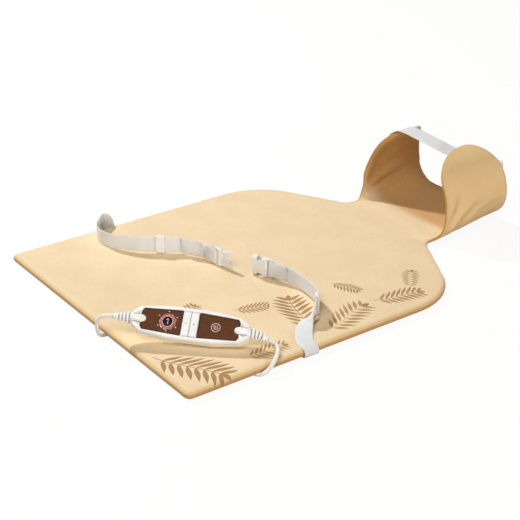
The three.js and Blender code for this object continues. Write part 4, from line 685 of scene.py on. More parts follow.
def section(side, zone, share, y):
    """Point (x, z) on the middle of the collar's band, and its outward normal, for the right or left side."""
    lobe = LOBES[side]
    corner = CORNER_FRONT + (lobe["corner"] - CORNER_FRONT) * ((y - NECK) / (LENGTH - NECK))
    rise = min(corner, WALL_TOP - FLOOR_Z - 1)
    if zone == "floor":
        return share * (COLLAR_HALF - corner), FLOOR_Z, 0.0, -1.0
    if zone == "corner":
        a = share * math.pi / 2
        x = COLLAR_HALF - corner + corner * math.sin(a)
        return x, FLOOR_Z + rise * (1 - math.cos(a)), math.sin(a), -math.cos(a)
    if zone == "wall":
        return COLLAR_HALF, FLOOR_Z + rise + share * (WALL_TOP - FLOOR_Z - rise), 1.0, 0.0
    t = share * math.radians(lobe["turn"])
    nx, nz = math.cos(t) / lobe["reach"], math.sin(t) / lobe["rise"]
    n = math.hypot(nx, nz)
    x = COLLAR_HALF - lobe["reach"] * (1 - math.cos(t))
    return x, WALL_TOP + lobe["rise"] * math.sin(t), nx / n, nz / n


def curl_length(side, share, steps=24):
    """Length along the lobe's curl, from the wall to a share of its turn."""
    turn = share * math.radians(LOBES[side]["turn"])
    rise, reach = LOBES[side]["rise"], LOBES[side]["reach"]
    middles = ((k + 0.5) / steps * turn for k in range(steps))
    return sum(math.hypot(reach * math.sin(t), rise * math.cos(t)) for t in middles) * turn / steps


def edges_at(side, zone, share):
    """Front and back edge of the band along y, and the place across on the flat pattern."""
    lobe = LOBES[side]
    if zone == "floor":
        across = share * FLAT_CORNER
    elif zone == "corner":
        across = FLAT_CORNER + share * math.pi / 2 * CORNER_FRONT
    else:
        rise = (share if zone == "wall" else 1.0) * (WALL_TOP - FLOOR_Z - CORNER_FRONT)
        across = FLAT_CORNER + math.pi / 2 * CORNER_FRONT + rise
    off = min(max(NECK_HALF + FRONT_RISE - across, 0), FRONT_RISE)
    front = NECK + FRONT_RISE * math.sqrt(max(1 - (off / FRONT_RISE) ** 2, 0))
    drop = {"floor": 0, "corner": share}.get(zone, 1)
    back = LENGTH - lobe["wall_in"] * drop
    if zone != "lobe":
        return front, back, across
    front += lobe["front_in"] * share
    back -= lobe["back_in"] * share
    if share > lobe["round_from"]:
        q = (share - lobe["round_from"]) / (1 - lobe["round_from"])
        keep = (1 - q ** lobe["bulge"]) ** lobe["end"] if q < 1 else 0.0
        front = lobe["tip"] + (front - lobe["tip"]) * keep
        back = lobe["tip"] + (back - lobe["tip"]) * keep
    return front, back, across + curl_length(side, share)


# Columns and rows of the cover's mesh: close together at the rims, with a wing at each side for the lobes
RIM = [0.0, 0.5, 1.4, 2.8, 4.8, 7.5, 11.0, 15.5, 21.0]
INNER = 40
LOBE_EVEN = 0.44


def columns(half):
    outer = [half - d for d in RIM]
    core = outer[-1]
    return [-u for u in outer] + [-core + 2 * core * k / INNER for k in range(1, INNER)] + outer[::-1]


def corner_share(u):
    return (abs(u) - FLAT_CORNER) / CORNER_FRONT / (math.pi / 2)


def station_of(u):
    side = 1 if u >= 0 else -1
    if abs(u) <= FLAT_CORNER:
        return side, "floor", abs(u) / FLAT_CORNER
    return side, "corner", corner_share(u)


wing = [("corner", corner_share(u)) for u in (80.35, 81.0, 82.0, 83.5, 85.5, 87.7)]
wing += [("wall", s) for s in (0.0, 0.25, 0.5, 0.75)]
wing += [("lobe", LOBE_EVEN * k / 12) for k in range(13)]
wing += [("lobe", LOBE_EVEN + (1 - LOBE_EVEN) * math.sin(k / 24 * math.pi / 2)) for k in range(1, 24)]
wing += [("lobe", 0.9992), ("lobe", 0.9999)]
neck_columns = columns(NECK_HALF)
stations = [(-1, zone, s) for zone, s in reversed(wing)] + [station_of(u) for u in neck_columns]
stations += [(1, zone, s) for zone, s in wing]
first_neck = len(wing)
last_neck = first_neck + len(neck_columns) - 1

rows_pad = [0, 0.3, 1.0, 2.2, 4.0, 6.2, 9.0, 12.5, 17]
rows_pad += list(np.linspace(23, SIDE, 42))
rows_pad += list(np.linspace(SIDE, ARC_Y, 18))[1:]
rows_pad += list(np.linspace(ARC_Y, FILLET_Y, 10))[1:]
rows_pad += list(np.linspace(FILLET_Y, NECK, 9))[1:]
band_shares = [0.0, 0.004, 0.011, 0.022, 0.04, 0.07] + list(np.linspace(0.11, 0.89, 22))
band_shares += [0.93, 0.96, 0.978, 0.989, 0.996, 1.0]


def band_row(part):
    """A row of the collar at a share of the way from its front to its back edge."""
    row = {}
    for c, (side, zone, share) in enumerate(stations):
        front, back, flat = edges_at(side, zone, share)
        if zone == "floor" or first_neck <= c <= last_neck:
            front = NECK
        row[c] = (side * flat, front + (back - front) * part, (side, zone, share))
    return row


# Each row holds, by column, the place on the flat pattern and, for the band, the station on it
flat_rows = []
for y in rows_pad[:-1]:
    flat_rows.append({first_neck + k: (x, y, None) for k, x in enumerate(columns(half_width(y)))})
flat_rows += [band_row(part) for part in band_shares]


def half_outline(side):
    """Outline of the flat pattern, for the distance of each point from the edge."""
    out = [(half_width(y), y) for y in rows_pad]
    edges = [edges_at(side, zone, s) for zone, s in wing]
    out += [(flat, front) for front, back, flat in edges]
    out += [(flat, back) for front, back, flat in reversed(edges)]
    front, back, flat = edges_at(side, "corner", 0.35)
    return out + [(flat, back), (60, LENGTH)]


def edge_distances(points):
    start = np.array(half_outline(1) + [(-x, y) for x, y in reversed(half_outline(-1))])
    d = np.roll(start, -1, axis=0) - start
    p = np.array(points)[:, None, :]
    t = np.clip(((p - start) * d).sum(2) / np.maximum((d * d).sum(1), 1e-9), 0, 1)
    near = start + t[..., None] * d
    return np.sqrt(((p - near) ** 2).sum(2)).min(1)


keys = [(r, c) for r, row in enumerate(flat_rows) for c in row]
distances = dict(zip(keys, edge_distances([flat_rows[r][c][:2] for r, c in keys])))

# Folds: from (u, y) to (u, y) on the flat pattern, width and height; a positive one stands to the top side
FOLDS = [
    (88, 487, 140, 510, 4.0, -3.0), (92, 484, 136, 497, 3.6, 2.4), (94, 499, 136, 522, 4.2, 3.4),
    (88, 505, 124, 543, 4.6, -3.2), (88, 517, 118, 562, 5, 1.8), (86, 530, 108, 580, 5.5, -1.4),
    (79, 470, 60, 448, 6, -0.9), (70, 470, 40, 462, 7, 0.7), (76, 474, 58, 520, 5, 0.9),
    (-88, 484, -121, 564, 4.5, 3.4), (-98, 486, -130, 552, 4.5, -3.4), (-84, 480, -80, 585, 5, 2.8),
    (-90, 486, -96, 548, 4, -2.8), (-104, 490, -160, 520, 6, 2.6), (-112, 500, -170, 545, 7, -2.6),
    (-76, 474, -52, 560, 6, -1.4), (-76, 476, -30, 520, 7, 0.9),
]
FLOOR_FOLD = 0.8


def smooth(x, a, b):
    t = min(max((x - a) / (b - a), 0), 1)
    return t * t * (3 - 2 * t)


def fold_at(u, y):
    total = 0.0
    for u0, y0, u1, y1, width, high in FOLDS:
        du, dy = u1 - u0, y1 - y0
        run = math.hypot(du, dy)
        t = ((u - u0) * du + (y - y0) * dy) / run ** 2
        if -0.25 < t < 1.25:
            off = abs((u - u0) * dy - (y - y0) * du) / run
            spread = width * (1 + 1.1 * max(t, 0))
            along = smooth(t, -0.25, 0.2) * (1 - smooth(t, 0.45, 1.25))
            total += high * along * math.exp(-(off / spread) ** 2)
    return total


def swell(u, y):
    """Slow unevenness of the padded surface."""
    a = math.sin(u * 0.021 + 1.3) * math.sin(y * 0.017 + 0.4)
    b = math.sin(u * 0.047 + y * 0.013) * math.sin(y * 0.039 - u * 0.011 + 2.0)
    return 0.45 * a + 0.3 * b


def hem_round(d, soft):
    """Share of the half thickness at a distance from the edge."""
    return math.sqrt(max(1 - (1 - min(d / soft, 1)) ** 2, 0))


def pad_point(u, y, d, top):
    to_neck = smooth(y, NECK - NECK_BLEND, NECK)
    mid = THICK / 2 + to_neck * (FLOOR_Z - THICK / 2)
    half = THICK / 2 - to_neck * (THICK / 2 - BAND_HALF)
    half *= hem_round(d, PAD_SOFT - to_neck * (PAD_SOFT - NECK_SOFT))
    lift = 0.0
    if abs(u) > FLAT_CORNER:
        angle = min((abs(u) - FLAT_CORNER) / CORNER_FRONT, 0.7)
        lift = smooth(y, NECK - SIDE_BLEND, NECK) * CORNER_FRONT * (1 - math.cos(angle))
    if not top:
        return place((u, y, max(mid + lift - half, 0.0)))
    wave = (swell(u, y) * 0.9 + fold_at(u, y) * to_neck) * smooth(d, 1, 16)
    return place((u, y, max(mid + lift + half + wave, 0.0)))


def band_point(u, y, d, top, station):
    side, zone, share = station
    x, z, nx, nz = section(side, zone, share, y)
    half = BAND_HALF * hem_round(d, BAND_SOFT)
    wave = fold_at(u, y) * smooth(d, 0.5, 14)
    if zone == "floor" and not top:
        wave = max(min(wave, FLOOR_FOLD), -FLOOR_FOLD)
    off = (-half if top else half) - wave
    height = z + nz * off
    if zone in ("floor", "corner") and not top:
        height = max(height, LOWEST)
    return place((side * (x + nx * off), y, height))


def build_cover():
    verts, flats, rims, index = [], [], [], {}
    for top in (True, False):
        for key in keys:
            u, y, station = flat_rows[key[0]][key[1]]
            d = distances[key]
            index[(key, top)] = len(verts)
            verts.append(band_point(u, y, d, top, station) if station else pad_point(u, y, d, top))
            flats.append((u / 1000, y / 1000))
            rims.append((d / 1000, 0))
    faces, sides = [], []
    for r in range(len(flat_rows) - 1):
        for c in range(len(stations) - 1):
            quad = [(r, c), (r, c + 1), (r + 1, c + 1), (r + 1, c)]
            if all(k[1] in flat_rows[k[0]] for k in quad):
                for top in (True, False):
                    ids = [index[(k, top)] for k in quad]
                    faces.append(tuple(ids if top else reversed(ids)))
                    sides.append(0 if top else 1)
    obj = new_mesh("pad_and_collar_cover", (verts, faces), fleece_print, fleece_plain_shaded)
    add_uv(obj.data, "flat", flats)
    add_uv(obj.data, "rim", rims)
    for poly, side in zip(obj.data.polygons, sides):
        poly.material_index = side
    clean(obj, 2e-5)
    return obj


# Grooves under the pad for the cords, a seat for the coupling, and pockets where the tapes are tucked in
GROOVE_HALF, GROOVE_TOP = 2.8, 5.0
COUPLING_SEAT = (-184.2, -160.2, 204.5, 271, -1, 6.3)
LEFT_TUCK, RIGHT_TUCK = NECK * 0.309, NECK * 0.354
POCKET_HALF, POCKET_IN, POCKET_OUT, POCKET_TOP = 10.8, 31, 3, 1.9


def groove(points):
    """A strip that follows the level part of a cord."""
    run = [p for p in points if p.z < GROOVE_TOP]
    rings = []
    for i, p in enumerate(run):
        a = run[max(i - 1, 0)]
        b = run[min(i + 1, len(run) - 1)]
        along = Vector((b.x - a.x, b.y - a.y)).normalized()
        left = Vector((p.x - along.y * GROOVE_HALF, p.y + along.x * GROOVE_HALF))
        right = Vector((p.x + along.y * GROOVE_HALF, p.y - along.x * GROOVE_HALF))
        mid = (left + right) / 2
        ring = [Vector((*left, -1)), Vector((*left, GROOVE_TOP * 0.6))]
        ring += [Vector((*edge.lerp(mid, 0.35), GROOVE_TOP)) for edge in (left, right)]
        rings.append(ring + [Vector((*right, GROOVE_TOP * 0.6)), Vector((*right, -1))])
    return loft(rings)


def pocket(side, y):
    x0, x1 = sorted((side * (HALF - POCKET_IN), side * (HALF + POCKET_OUT)))
    return block(x0, x1, y - POCKET_HALF, y + POCKET_HALF, -1, POCKET_TOP)


cover = build_cover()
mains_under = [p for p in spline(MAINS_CORD, 3) if p.y < NECK + 12]
hollows = [groove(spline(PAD_CORD, 3)), groove(mains_under), block(*COUPLING_SEAT)]
hollows += [pocket(-1, LEFT_TUCK), pocket(1, RIGHT_TUCK)]
cut(cover, [([place(p) for p in verts], faces) for verts, faces in hollows], fleece_plain_shaded)
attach(cover, "pad")
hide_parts("pad_top_cover", "pad_bottom_cover", "pad_upper_wadding", "heating_carrier",
            "collar_outer_cover", "collar_wadding", "collar_inner_cover")

# Belt tapes
WEB, WEB_T, GAP = 20.0, 1.2, 0.3
UP = Vector((0, 0, 1))
ALONG_Y = Vector((0, 1, 0))


def ribbon(name, rows, width, thick, material, body, *replaced):
    """A tape along (point, edge direction) rows, with rounded selvedges and an across/along map."""
    half = width / 2
    t = thick / 2
    profile = [(-half, -t * 0.3), (-half + 0.225, -t * 0.9), (-half + 1.4, -t), (0, -t),
               (half - 1.4, -t), (half - 0.225, -t * 0.9), (half, -t * 0.3)]
    profile += [(x, -y) for x, y in reversed(profile)]
    points = [r[0] for r in rows]
    rings, spots, run = [], [], 0.0
    for i, (p, edge) in enumerate(rows):
        head = (points[min(i + 1, len(points) - 1)] - points[max(i - 1, 0)]).normalized()
        face = head.cross(edge).normalized()
        across = face.cross(head).normalized()
        if i:
            run += (p - points[i - 1]).length
        rings.append([place(p + across * x + face * y) for x, y in profile])
        spots += [(x / 1000, run / 1000) for x, y in profile]
    obj = new_mesh(name, loft(rings), material)
    add_uv(obj.data, "run", spots)
    clean(obj, 1e-7)
    for poly in obj.data.polygons:
        poly.use_smooth = len(poly.vertices) <= 4
    if body:
        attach(obj, body)
    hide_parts(*replaced)
    return obj


def on_edge(points):
    """Rows for points where the tape's edges run along y."""
    return [(p, ALONG_Y.copy()) for p in points]


def rest_height(edge, lift):
    """Height of a tape's middle that stands or lies on the pad, with a lift in tape widths."""
    rise = abs(edge.z)
    return THICK + GAP + WEB / 2 * rise + WEB_T / 2 * math.sqrt(max(1 - rise ** 2, 0)) + lift * WEB


def rest_rows(table):
    """Rows from shares of the half width and of the neck's y, a lift, and the edge's way if not upright."""
    out = []
    for across, along, lift, *way in table:
        edge = Vector(way or (0, 0, 1)).normalized()
        out.append((Vector((across * HALF, along * NECK, rest_height(edge, lift))), edge))
    return out


def tuck_rows(side, y):
    """The end that is tucked under the pad and turns up at its edge."""
    low = 0.35 + WEB_T / 2
    outside = HALF + GAP * 5 + WEB_T / 2
    spots = [(HALF - 30, low), (HALF - 15, low), (HALF - 6, low), (HALF - 0.75, low + 0.3),
             (outside - 0.75, 2.55), (outside, 5.4)]
    return on_edge([Vector((side * x, y, z)) for x, z in spots])


def level_place(across, along, lift, degrees):
    a = math.radians(degrees)
    return Vector((across * HALF, along * NECK, rest_height(UP, lift))), Vector((math.cos(a), math.sin(a), 0))


def straight(spot, length):
    at, head = spot
    return [(at + head * length * (i / 6 - 0.5), UP.copy()) for i in range(7)]


def at_bar(spot, along, aside):
    at, head = spot
    return at + head * along + UP.cross(head) * aside, UP.copy()


BAR_TURN = 2 + WEB_T / 2


def bar_loop(spot):
    """The tape comes to a bar, turns round it and lies doubled beside itself."""
    r = BAR_TURN
    back = r - (WEB_T + GAP * 1.2)
    rows = [at_bar(spot, -11, r), at_bar(spot, -4.4, r)]
    for i in range(13):
        a = math.pi / 2 - math.pi * i / 12
        rows.append(at_bar(spot, r * math.cos(a), r * math.sin(a)))
    rows += [at_bar(spot, -4.4, r * -0.72), at_bar(spot, -8.4, r - (WEB_T + GAP * 1.2) * 1.5)]
    return rows + [at_bar(spot, -12.1, back), at_bar(spot, -22, back)]


def smooth_rows(rows, steps=6):
    out = []
    for i, p in enumerate(spline([r[0] for r in rows], steps)):
        k = min(i // steps, len(rows) - 2)
        out.append((p, rows[k][1].lerp(rows[k + 1][1], i / steps - k).normalized()))
    return out


SLIDER = level_place(-0.457, 0.3345, 0.125, 52.1)
ADJUSTER = level_place(0.712, 0.473, 0.125, -43)
PLUG = level_place(-0.124, 0.419, 0.115, 15.6)
SOCKET = level_place(0.219, 0.491, 0.16, 202.6)
# Where the left tape rises past the pad's edge, with heights instead of lifts
LEFT_RISE = [
    (-1.01, 0.3081, 11, 0, 1, 0.1), (-1.01, 0.3045, 16.5, 0, 0.87, 0.5),
    (-1.006, 0.2975, 20.5, 0.05, 0.5, 0.86),
]
LEFT_BELT = [
    (-0.995, 0.289, 0, 0.04, 0.15, 0.98), (-0.964, 0.275, 0), (-0.93, 0.26, 0), (-0.878, 0.242, 0),
    (-0.814, 0.234, 0), (-0.752, 0.235, 0), (-0.7, 0.241, 0.01), (-0.648, 0.252, 0.04), (-0.596, 0.269, 0.1),
]
LEFT_LATE = [(-0.358, 0.379, 0.125), (-0.3, 0.3945, 0.12)]
RIGHT_EARLY = [
    (0.316, 0.5045, 0.15), (0.357, 0.5085, 0.13), (0.414, 0.511, 0.12), (0.476, 0.51, 0.11),
    (0.571, 0.504, 0.11),
]
RIGHT_FOLD = [
    (0.772, 0.4395, 0.03, 0.35, 0.2, 0.92), (0.782, 0.4235, 0, 0.5, 0.42, 0.72),
    (0.797, 0.409, 0, 0.7, 0.6, 0.42), (0.826, 0.394, 0, 0.74, 0.66, 0.14), (0.866, 0.379, 0, 0.64, 0.76, 0),
    (0.908, 0.3655, 0, 0.42, 0.9, 0), (0.948, 0.357, 0, 0.15, 0.98, 0),
]
left_rise = [(Vector((a * HALF, b * NECK, z)), Vector(way).normalized()) for a, b, z, *way in LEFT_RISE]
left_rows = smooth_rows(
    tuck_rows(-1, LEFT_TUCK) + left_rise + rest_rows(LEFT_BELT) + straight(SLIDER, 54) + rest_rows(LEFT_LATE)
    + [at_bar(PLUG, -25.3, BAR_TURN), at_bar(PLUG, -17.6, BAR_TURN)]) + bar_loop(PLUG)
edge_x = HALF - 0.8
over_edge = on_edge([Vector((edge_x - 3.5, RIGHT_TUCK, THICK + GAP * 1.5)),
                     Vector((edge_x + 1.2, RIGHT_TUCK, THICK - 1.2))])
right_rows = bar_loop(SOCKET)[::-1] + smooth_rows(
    [at_bar(SOCKET, -17.6, BAR_TURN), at_bar(SOCKET, -25.3, BAR_TURN)] + rest_rows(RIGHT_EARLY)
    + straight(ADJUSTER, 27) + rest_rows(RIGHT_FOLD) + over_edge + tuck_rows(1, RIGHT_TUCK)[::-1])
ribbon("left_belt_tape", left_rows, WEB, WEB_T, tape_white, "pad", "left_belt_webbing")
ribbon("right_belt_tape", right_rows, WEB, WEB_T, tape_white, "pad", "right_belt_webbing")

# Closure strap of the collar: over the left lobe, free across the gap, under the right lobe to its patch
CLOSE_W, CLOSE_T, PATCH_T, PATCH_GAP = 26.0, 1.2, 0.8, 0.7
CLOSE_FROM, CLOSE_TO = 536.0, 553.0
LEAVE, LAND = 84.0, 62.0


def lobe_point(side, degrees, off, y):
    x, z, nx, nz = section(side, "lobe", degrees / LOBES[side]["turn"], y)
    return Vector((side * (x + nx * off), y, z + nz * off))


over = BAND_HALF + GAP + CLOSE_T / 2
under = BAND_HALF + PATCH_GAP + PATCH_T + GAP * 2 + CLOSE_T / 2
strap_points = [lobe_point(-1, LEAVE - 60 + 60 * i / 10, over, CLOSE_FROM) for i in range(11)]
leave = strap_points[-1]
landing = lobe_point(1, LAND, -under, CLOSE_TO)
drift = (landing.y - leave.y) / (landing.x - leave.x)


def under_lobe(degrees, off):
    """A point under the right lobe, in line with the free part of the strap."""
    at = lobe_point(1, degrees, -off, CLOSE_TO)
    at.y = landing.y + (at.x - landing.x) * drift
    return at


for share, sag in ((0.12, 1.4), (0.3, 1.2), (0.5, 0.8), (0.7, 0.2), (0.88, -0.2)):
    strap_points.append(leave.lerp(landing, share) + Vector((0, 0, sag)))
strap_points += [under_lobe(LAND - 34 * i / 8, under) for i in range(9)]
strap = ribbon("closure_strap_tape", on_edge(spline(strap_points, 4)), CLOSE_W, CLOSE_T, strap_white, None,
               "closure_strap_base", "closure_strap")
place(leave.lerp(landing, 0.03))
place(leave.lerp(landing, 0.22))
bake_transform(strap)
patch_line = [under_lobe(LAND - 12 - 24 * i / 10, BAND_HALF + PATCH_GAP + PATCH_T / 2) for i in range(11)]
ribbon("closure_patch_tape", on_edge(patch_line), CLOSE_W - 2, PATCH_T, strap_white, "pad", "closure_patch")

# Controller, in its own frame: x along its length, z out of its face
POSE = Matrix.Scale(0.001, 4) @ (Matrix.Translation(place((123.3, 60.9, 37.8)) * 1000)
                                 @ Matrix.Rotation(math.radians(45.1), 4, "Z")
                                 @ Matrix.Rotation(math.radians(3.5), 4, "Y")
                                 @ Matrix.Rotation(math.radians(42.5), 4, "X"))
HOUSE_X, HOUSE_Y, DEPTH, PARTING = 68.0, 20.0, 16.0, 6.0
quarter = [(HOUSE_X * a, HOUSE_Y * b) for a, b in ((1, 0.4), (0.86, 0.76), (0.4, 0.98))]
HOUSE = quarter + [(-x, y) for x, y in reversed(quarter)]
HOUSE += [(-x, -y) for x, y in HOUSE]
WINDOW = [(9.5, -15), (54.4, -12.5), (56.7, -8.7), (56.7, 8.7), (54.4, 12.5), (9.5, 15)]
BAR_X, KEY_HALF, KEY_FIT, FLANGE_HALF = 9.5, 14.5, 0.3, 16
SCREW_X, SCREW_Y, BORE_R, BORE_TOP = HOUSE_X * 0.73, HOUSE_Y * 0.555, 2.4, 4.5 - DEPTH
# Strain reliefs: where their ribs start and end, and the (radius, height) points of their head
SHOULDER_X, TIP_X, RELIEF_SIDES = 69.5, 90.4, 48
HEAD = [(0, 48.4), (1.8, 48.45), (3.6, 48.9), (5.2, 50.0), (6.3, 51.6), (7.1, 54.1), (7.5, 57.2),
        (7.6, 60.5), (7.5, 64), (7.25, 66.6), (6.8, 69.1)]
# The round display on the left window: its middle, the radius of its hole, and the level lamps on its ring
RING, RING_HOLE, LEVELS, LEVEL_R = -26.0, 9.95, 9, 8.15
SIGN, SIGN_LOW, SIGN_HIGH = 29.5, 0.03, 0.2


def controller_piece(name, solid, *materials, slot="white_plastic", body="pad", node=None, holes=(),
                     smooth=True):
    """Puts a solid of the controller's frame in place, cuts its holes and hides the node it replaces."""
    obj = new_mesh(name, moved(solid, POSE), *materials, smooth=smooth)
    clean(obj, 1e-6)
    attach(obj, body)
    if holes:
        cut(obj, [moved(hole, POSE) for hole in holes], plastic_housing)
    if node:
        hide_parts(node)
    return obj


def along_x(solid, side):
    """Turns a solid on the Z axis to lie along X at the height of the cords, on one side."""
    return [Vector((side * p.z, side * p.y, p.x - PARTING)) for p in solid[0]], solid[1]


# Shells
upper = stack(HOUSE, 3.8, 9, [
    (2.3, -2.7), (2, -3.2), (2, -PARTING + 0.12), (0.3, -PARTING + 0.12), (0, -PARTING + 0.45), (0, -4.2),
    (0.08, -3), (0.3, -1.9), (0.7, -0.95), (1.2, -0.25), (1.9, 0.25), (2.6, 0.5), (3.2, 0.6),
])
lower = stack(HOUSE, 3.8, 9, [
    (4, 2 - DEPTH), (2.6, 3.2 - DEPTH), (2.1, 6 - DEPTH), (2, -PARTING - 0.12), (0.3, -PARTING - 0.12),
    (0, -PARTING - 0.45), (0, -DEPTH * 0.7), (0.15, 2.4 - DEPTH), (0.5, 1.3 - DEPTH), (1.1, 0.55 - DEPTH),
    (1.8, 0.15 - DEPTH), (2.6, -DEPTH),
])
head_room = [(0, 48.2)] + [(r + 0.2, s - 0.2) for r, s in HEAD[1:]] + [(7.2, 75), (0, 75)]
heads = [along_x(turned(head_room, RELIEF_SIDES), side) for side in (1, -1)]
recess = stack(WINDOW, 1.2, 4, [(-0.2, -1.5), (-0.2, 0.25), (-0.6, 0.7), (-0.6, 3)])
opening = stack(rect(KEY_FIT - BAR_X, BAR_X - KEY_FIT, KEY_HALF + KEY_FIT), 1, 4,
                [(0, -5), (0, 0.25), (-0.4, 0.7), (-0.4, 3)])
controller_piece("upper_shell", upper, plastic_housing, node="controller_upper_housing",
                 holes=[recess, turned_about(recess, 180), opening] + heads)
bore = turned([(0, -DEPTH - 1), (BORE_R, -DEPTH - 1), (BORE_R, BORE_TOP), (0, BORE_TOP)], 24)
bores = [shifted(bore, x * SCREW_X, y * SCREW_Y) for x, y in ((1, 1), (-1, 1), (-1, -1), (1, -1))]
controller_piece("lower_shell", lower, plastic_housing, node="controller_lower_housing", holes=bores + heads)


# Windows
def window(name, side, node):
    """A brown panel in a near-black frame."""
    turn = 0 if side > 0 else 180
    holes = list(heads)
    if side < 0:
        holes.append(shifted(turned([(0, -2), (RING_HOLE, -2), (RING_HOLE, 1), (0, 1)], 96), RING))
    rim = turned_about(stack(WINDOW, 1.2, 4, [(0, -1.2), (0, -0.12), (0.1, 0)]), turn)
    panel = turned_about(stack(WINDOW, 1.2, 4, [(0.9, -0.05), (0.9, 0.03), (1, 0.07)]), turn)
    controller_piece(f"{name}_frame", rim, window_rim, slot="window_panel", holes=holes, smooth=False)
    controller_piece(name, panel, window_brown, slot="window_panel", node=node, holes=holes, smooth=False)


window("left_window", -1, "display_window")
window("right_window", 1, "plain_window")


# Round display: a red ring with nine lamps, a pale ring, a lens with a one on it, and marks round it
def hoop(x, sides, profile):
    """A closed ring round x through (radius, height, wave) points; the wave bulges it at each level lamp."""
    rings = []
    for radius, z, wave in profile:
        ring = []
        for k in range(sides):
            a = 2 * math.pi * k / sides
            r = radius + wave * math.cos(LEVELS * a)
            ring.append(Vector((x + r * math.cos(a), r * math.sin(a), z)))
        rings.append(ring)
    return loft(rings, closed=True)


def bar(x, y, length, width, z0, z1, turn=0.0, bevel=0.12):
    corners = rect(-length / 2, length / 2, width / 2)
    solid = stack(corners, min(length, width) * 0.35, 3, [(0, z0), (0, z1 - bevel), (bevel, z1)])
    return moved(solid, Matrix.Translation((x, y, 0)) @ Matrix.Rotation(turn, 4, "Z"))


red_ring = hoop(RING, 144, [(9.15, -1, 0.6), (9.15, 0.12, 0.6), (8.85, 0.26, 0.55), (6.9, 0.26, 0),
                            (6.7, 0.12, 0), (6.7, -1, 0)])
controller_piece("level_ring_red", red_ring, plastic_red, slot="red_plastic", node="level_ring")
stud = turned([(0, 0.2), (1.2, 0.2), (1.15, 0.36), (0.85, 0.5), (0.3, 0.57), (0, 0.57)], 20)
angles = [2 * math.pi * k / LEVELS for k in range(LEVELS)]
studs = [shifted(stud, RING + LEVEL_R * math.cos(a), LEVEL_R * math.sin(a)) for a in angles]
controller_piece("level_lamps", joined(studs), plastic_scarlet, slot="red_plastic")
pale_ring = hoop(RING, 144, [(6.6, -0.4, 0), (6.6, 0.2, 0), (6.4, 0.3, 0), (6.0, 0.3, 0), (5.85, 0.2, 0),
                             (5.85, -0.4, 0)])
controller_piece("lens_ring", pale_ring, plastic_pale)
lens = turned([(0, -1), (5.8, -1), (5.8, 0.12), (5.0, 0.3), (3.4, 0.42), (1.6, 0.47), (0.4, 0.48),
               (0, 0.48)], 64)
controller_piece("display_window_lens", shifted(lens, RING), lens_dark, slot="lens", node="display_lens")
digit = [bar(RING + 0.6, y, 0.9, 2.9, 0.4, 0.62) for y in (1.75, -1.75)]
digit.append(bar(RING - 0.7, 2.3, 2.2, 0.8, 0.4, 0.6, math.radians(48)))
controller_piece("display_digit", joined(digit), plastic_pale, smooth=False)
angles = [math.radians(30 + 60 * k) for k in range(6)]
marks = [bar(RING + 11.8 * math.cos(a), 11.8 * math.sin(a), 1.7, 1.1, 0.02, 0.16) for a in angles]
controller_piece("scale_marks", joined(marks), plastic_pale, smooth=False)


# A plain heat sign on the right window: a ring round three rising waves
def wave_strip(x, amplitude=0.45, length=5.0, width=0.6, steps=20):
    middle = []
    for i in range(steps + 1):
        middle.append((x + amplitude * math.sin(2 * math.pi * i / steps), -length / 2 + length * i / steps))
    outline = [(c + width / 2, s) for c, s in middle] + [(c - width / 2, s) for c, s in reversed(middle)]
    return loft([[Vector((a, b, z)) for a, b in outline] for z in (SIGN_LOW, SIGN_HIGH)])


sign = [hoop(SIGN, 64, [(5.2, SIGN_LOW, 0), (5.2, SIGN_HIGH, 0), (4.6, SIGN_HIGH, 0), (4.6, SIGN_LOW, 0)])]
sign += [wave_strip(SIGN + dx) for dx in (-1.9, 0, 1.9)]
controller_piece("heat_sign", joined(sign), plastic_pale, smooth=False)


# Keys, each with its flange and the stem that reaches the switch
def key_cap(side):
    low, high = 0.2, BAR_X - 0.5
    cap = stack(rect(low, high, KEY_HALF), 1.3, 5,
                [(0, -4.0), (0, 0.3), (0.12, 0.6), (0.35, 0.8), (0.8, 0.92), (1.6, 0.96)])
    flange = stack(rect(low, high, FLANGE_HALF), 1, 3, [(0, -4.0), (0, -3.0)])
    stem = shifted(turned([(0, -5.6), (2, -5.6), (2, -3.6), (0, -3.6)], 24), (low + high) / 2)
    return turned_about(joined([cap, flange, stem]), 0 if side > 0 else 180)


MARK_X, MARK_LONG, MARK_WIDE, MARK_LOW, MARK_HIGH = 4.6, 3.4, 0.55, 0.9, 1.03
for side, word in ((-1, "minus"), (1, "plus")):
    body = f"{word}_key"
    controller_piece(f"{word}_key_cap", key_cap(side), plastic_button, body=body, node=f"{word}_button")
    lines = [bar(MARK_X * side, 0, MARK_LONG, MARK_WIDE, MARK_LOW, MARK_HIGH)]
    if side > 0:
        lines.append(bar(MARK_X, 0, MARK_WIDE, MARK_LONG, MARK_LOW, MARK_HIGH))
    controller_piece(f"{word}_key_marks", joined(lines), plastic_grey, body=body, smooth=False)


# Strain reliefs: a bullet head and tapering ribs, the mains one bent by its cord
def relief_profile():
    """The (radius, height) points, and the rings where a face of the grooves between the ribs starts."""
    pitch = (TIP_X - SHOULDER_X) / 5
    profile = list(HEAD)
    grooves = []
    for i in range(4):
        r = 7.2 - i * 2.6 / 3
        s = SHOULDER_X + pitch * i
        grooves += [len(profile) - 1, len(profile)]
        profile += [(r - 1.7, s + 0.2), (r - 1.8, s + pitch * 0.2), (r - 1.7, s + pitch * 0.36),
                    (r - 0.25, s + pitch * 0.46), (r, s + pitch * 0.54), (r, s + pitch * 0.84),
                    (r - 0.25, s + pitch * 0.94)]
    profile += [(3.3, TIP_X - pitch + 0.2), (3.2, TIP_X - pitch * 0.7), (3.0, TIP_X - 0.8),
                (2.7, TIP_X - 0.1), (2.4, TIP_X), (0, TIP_X)]
    return profile, grooves


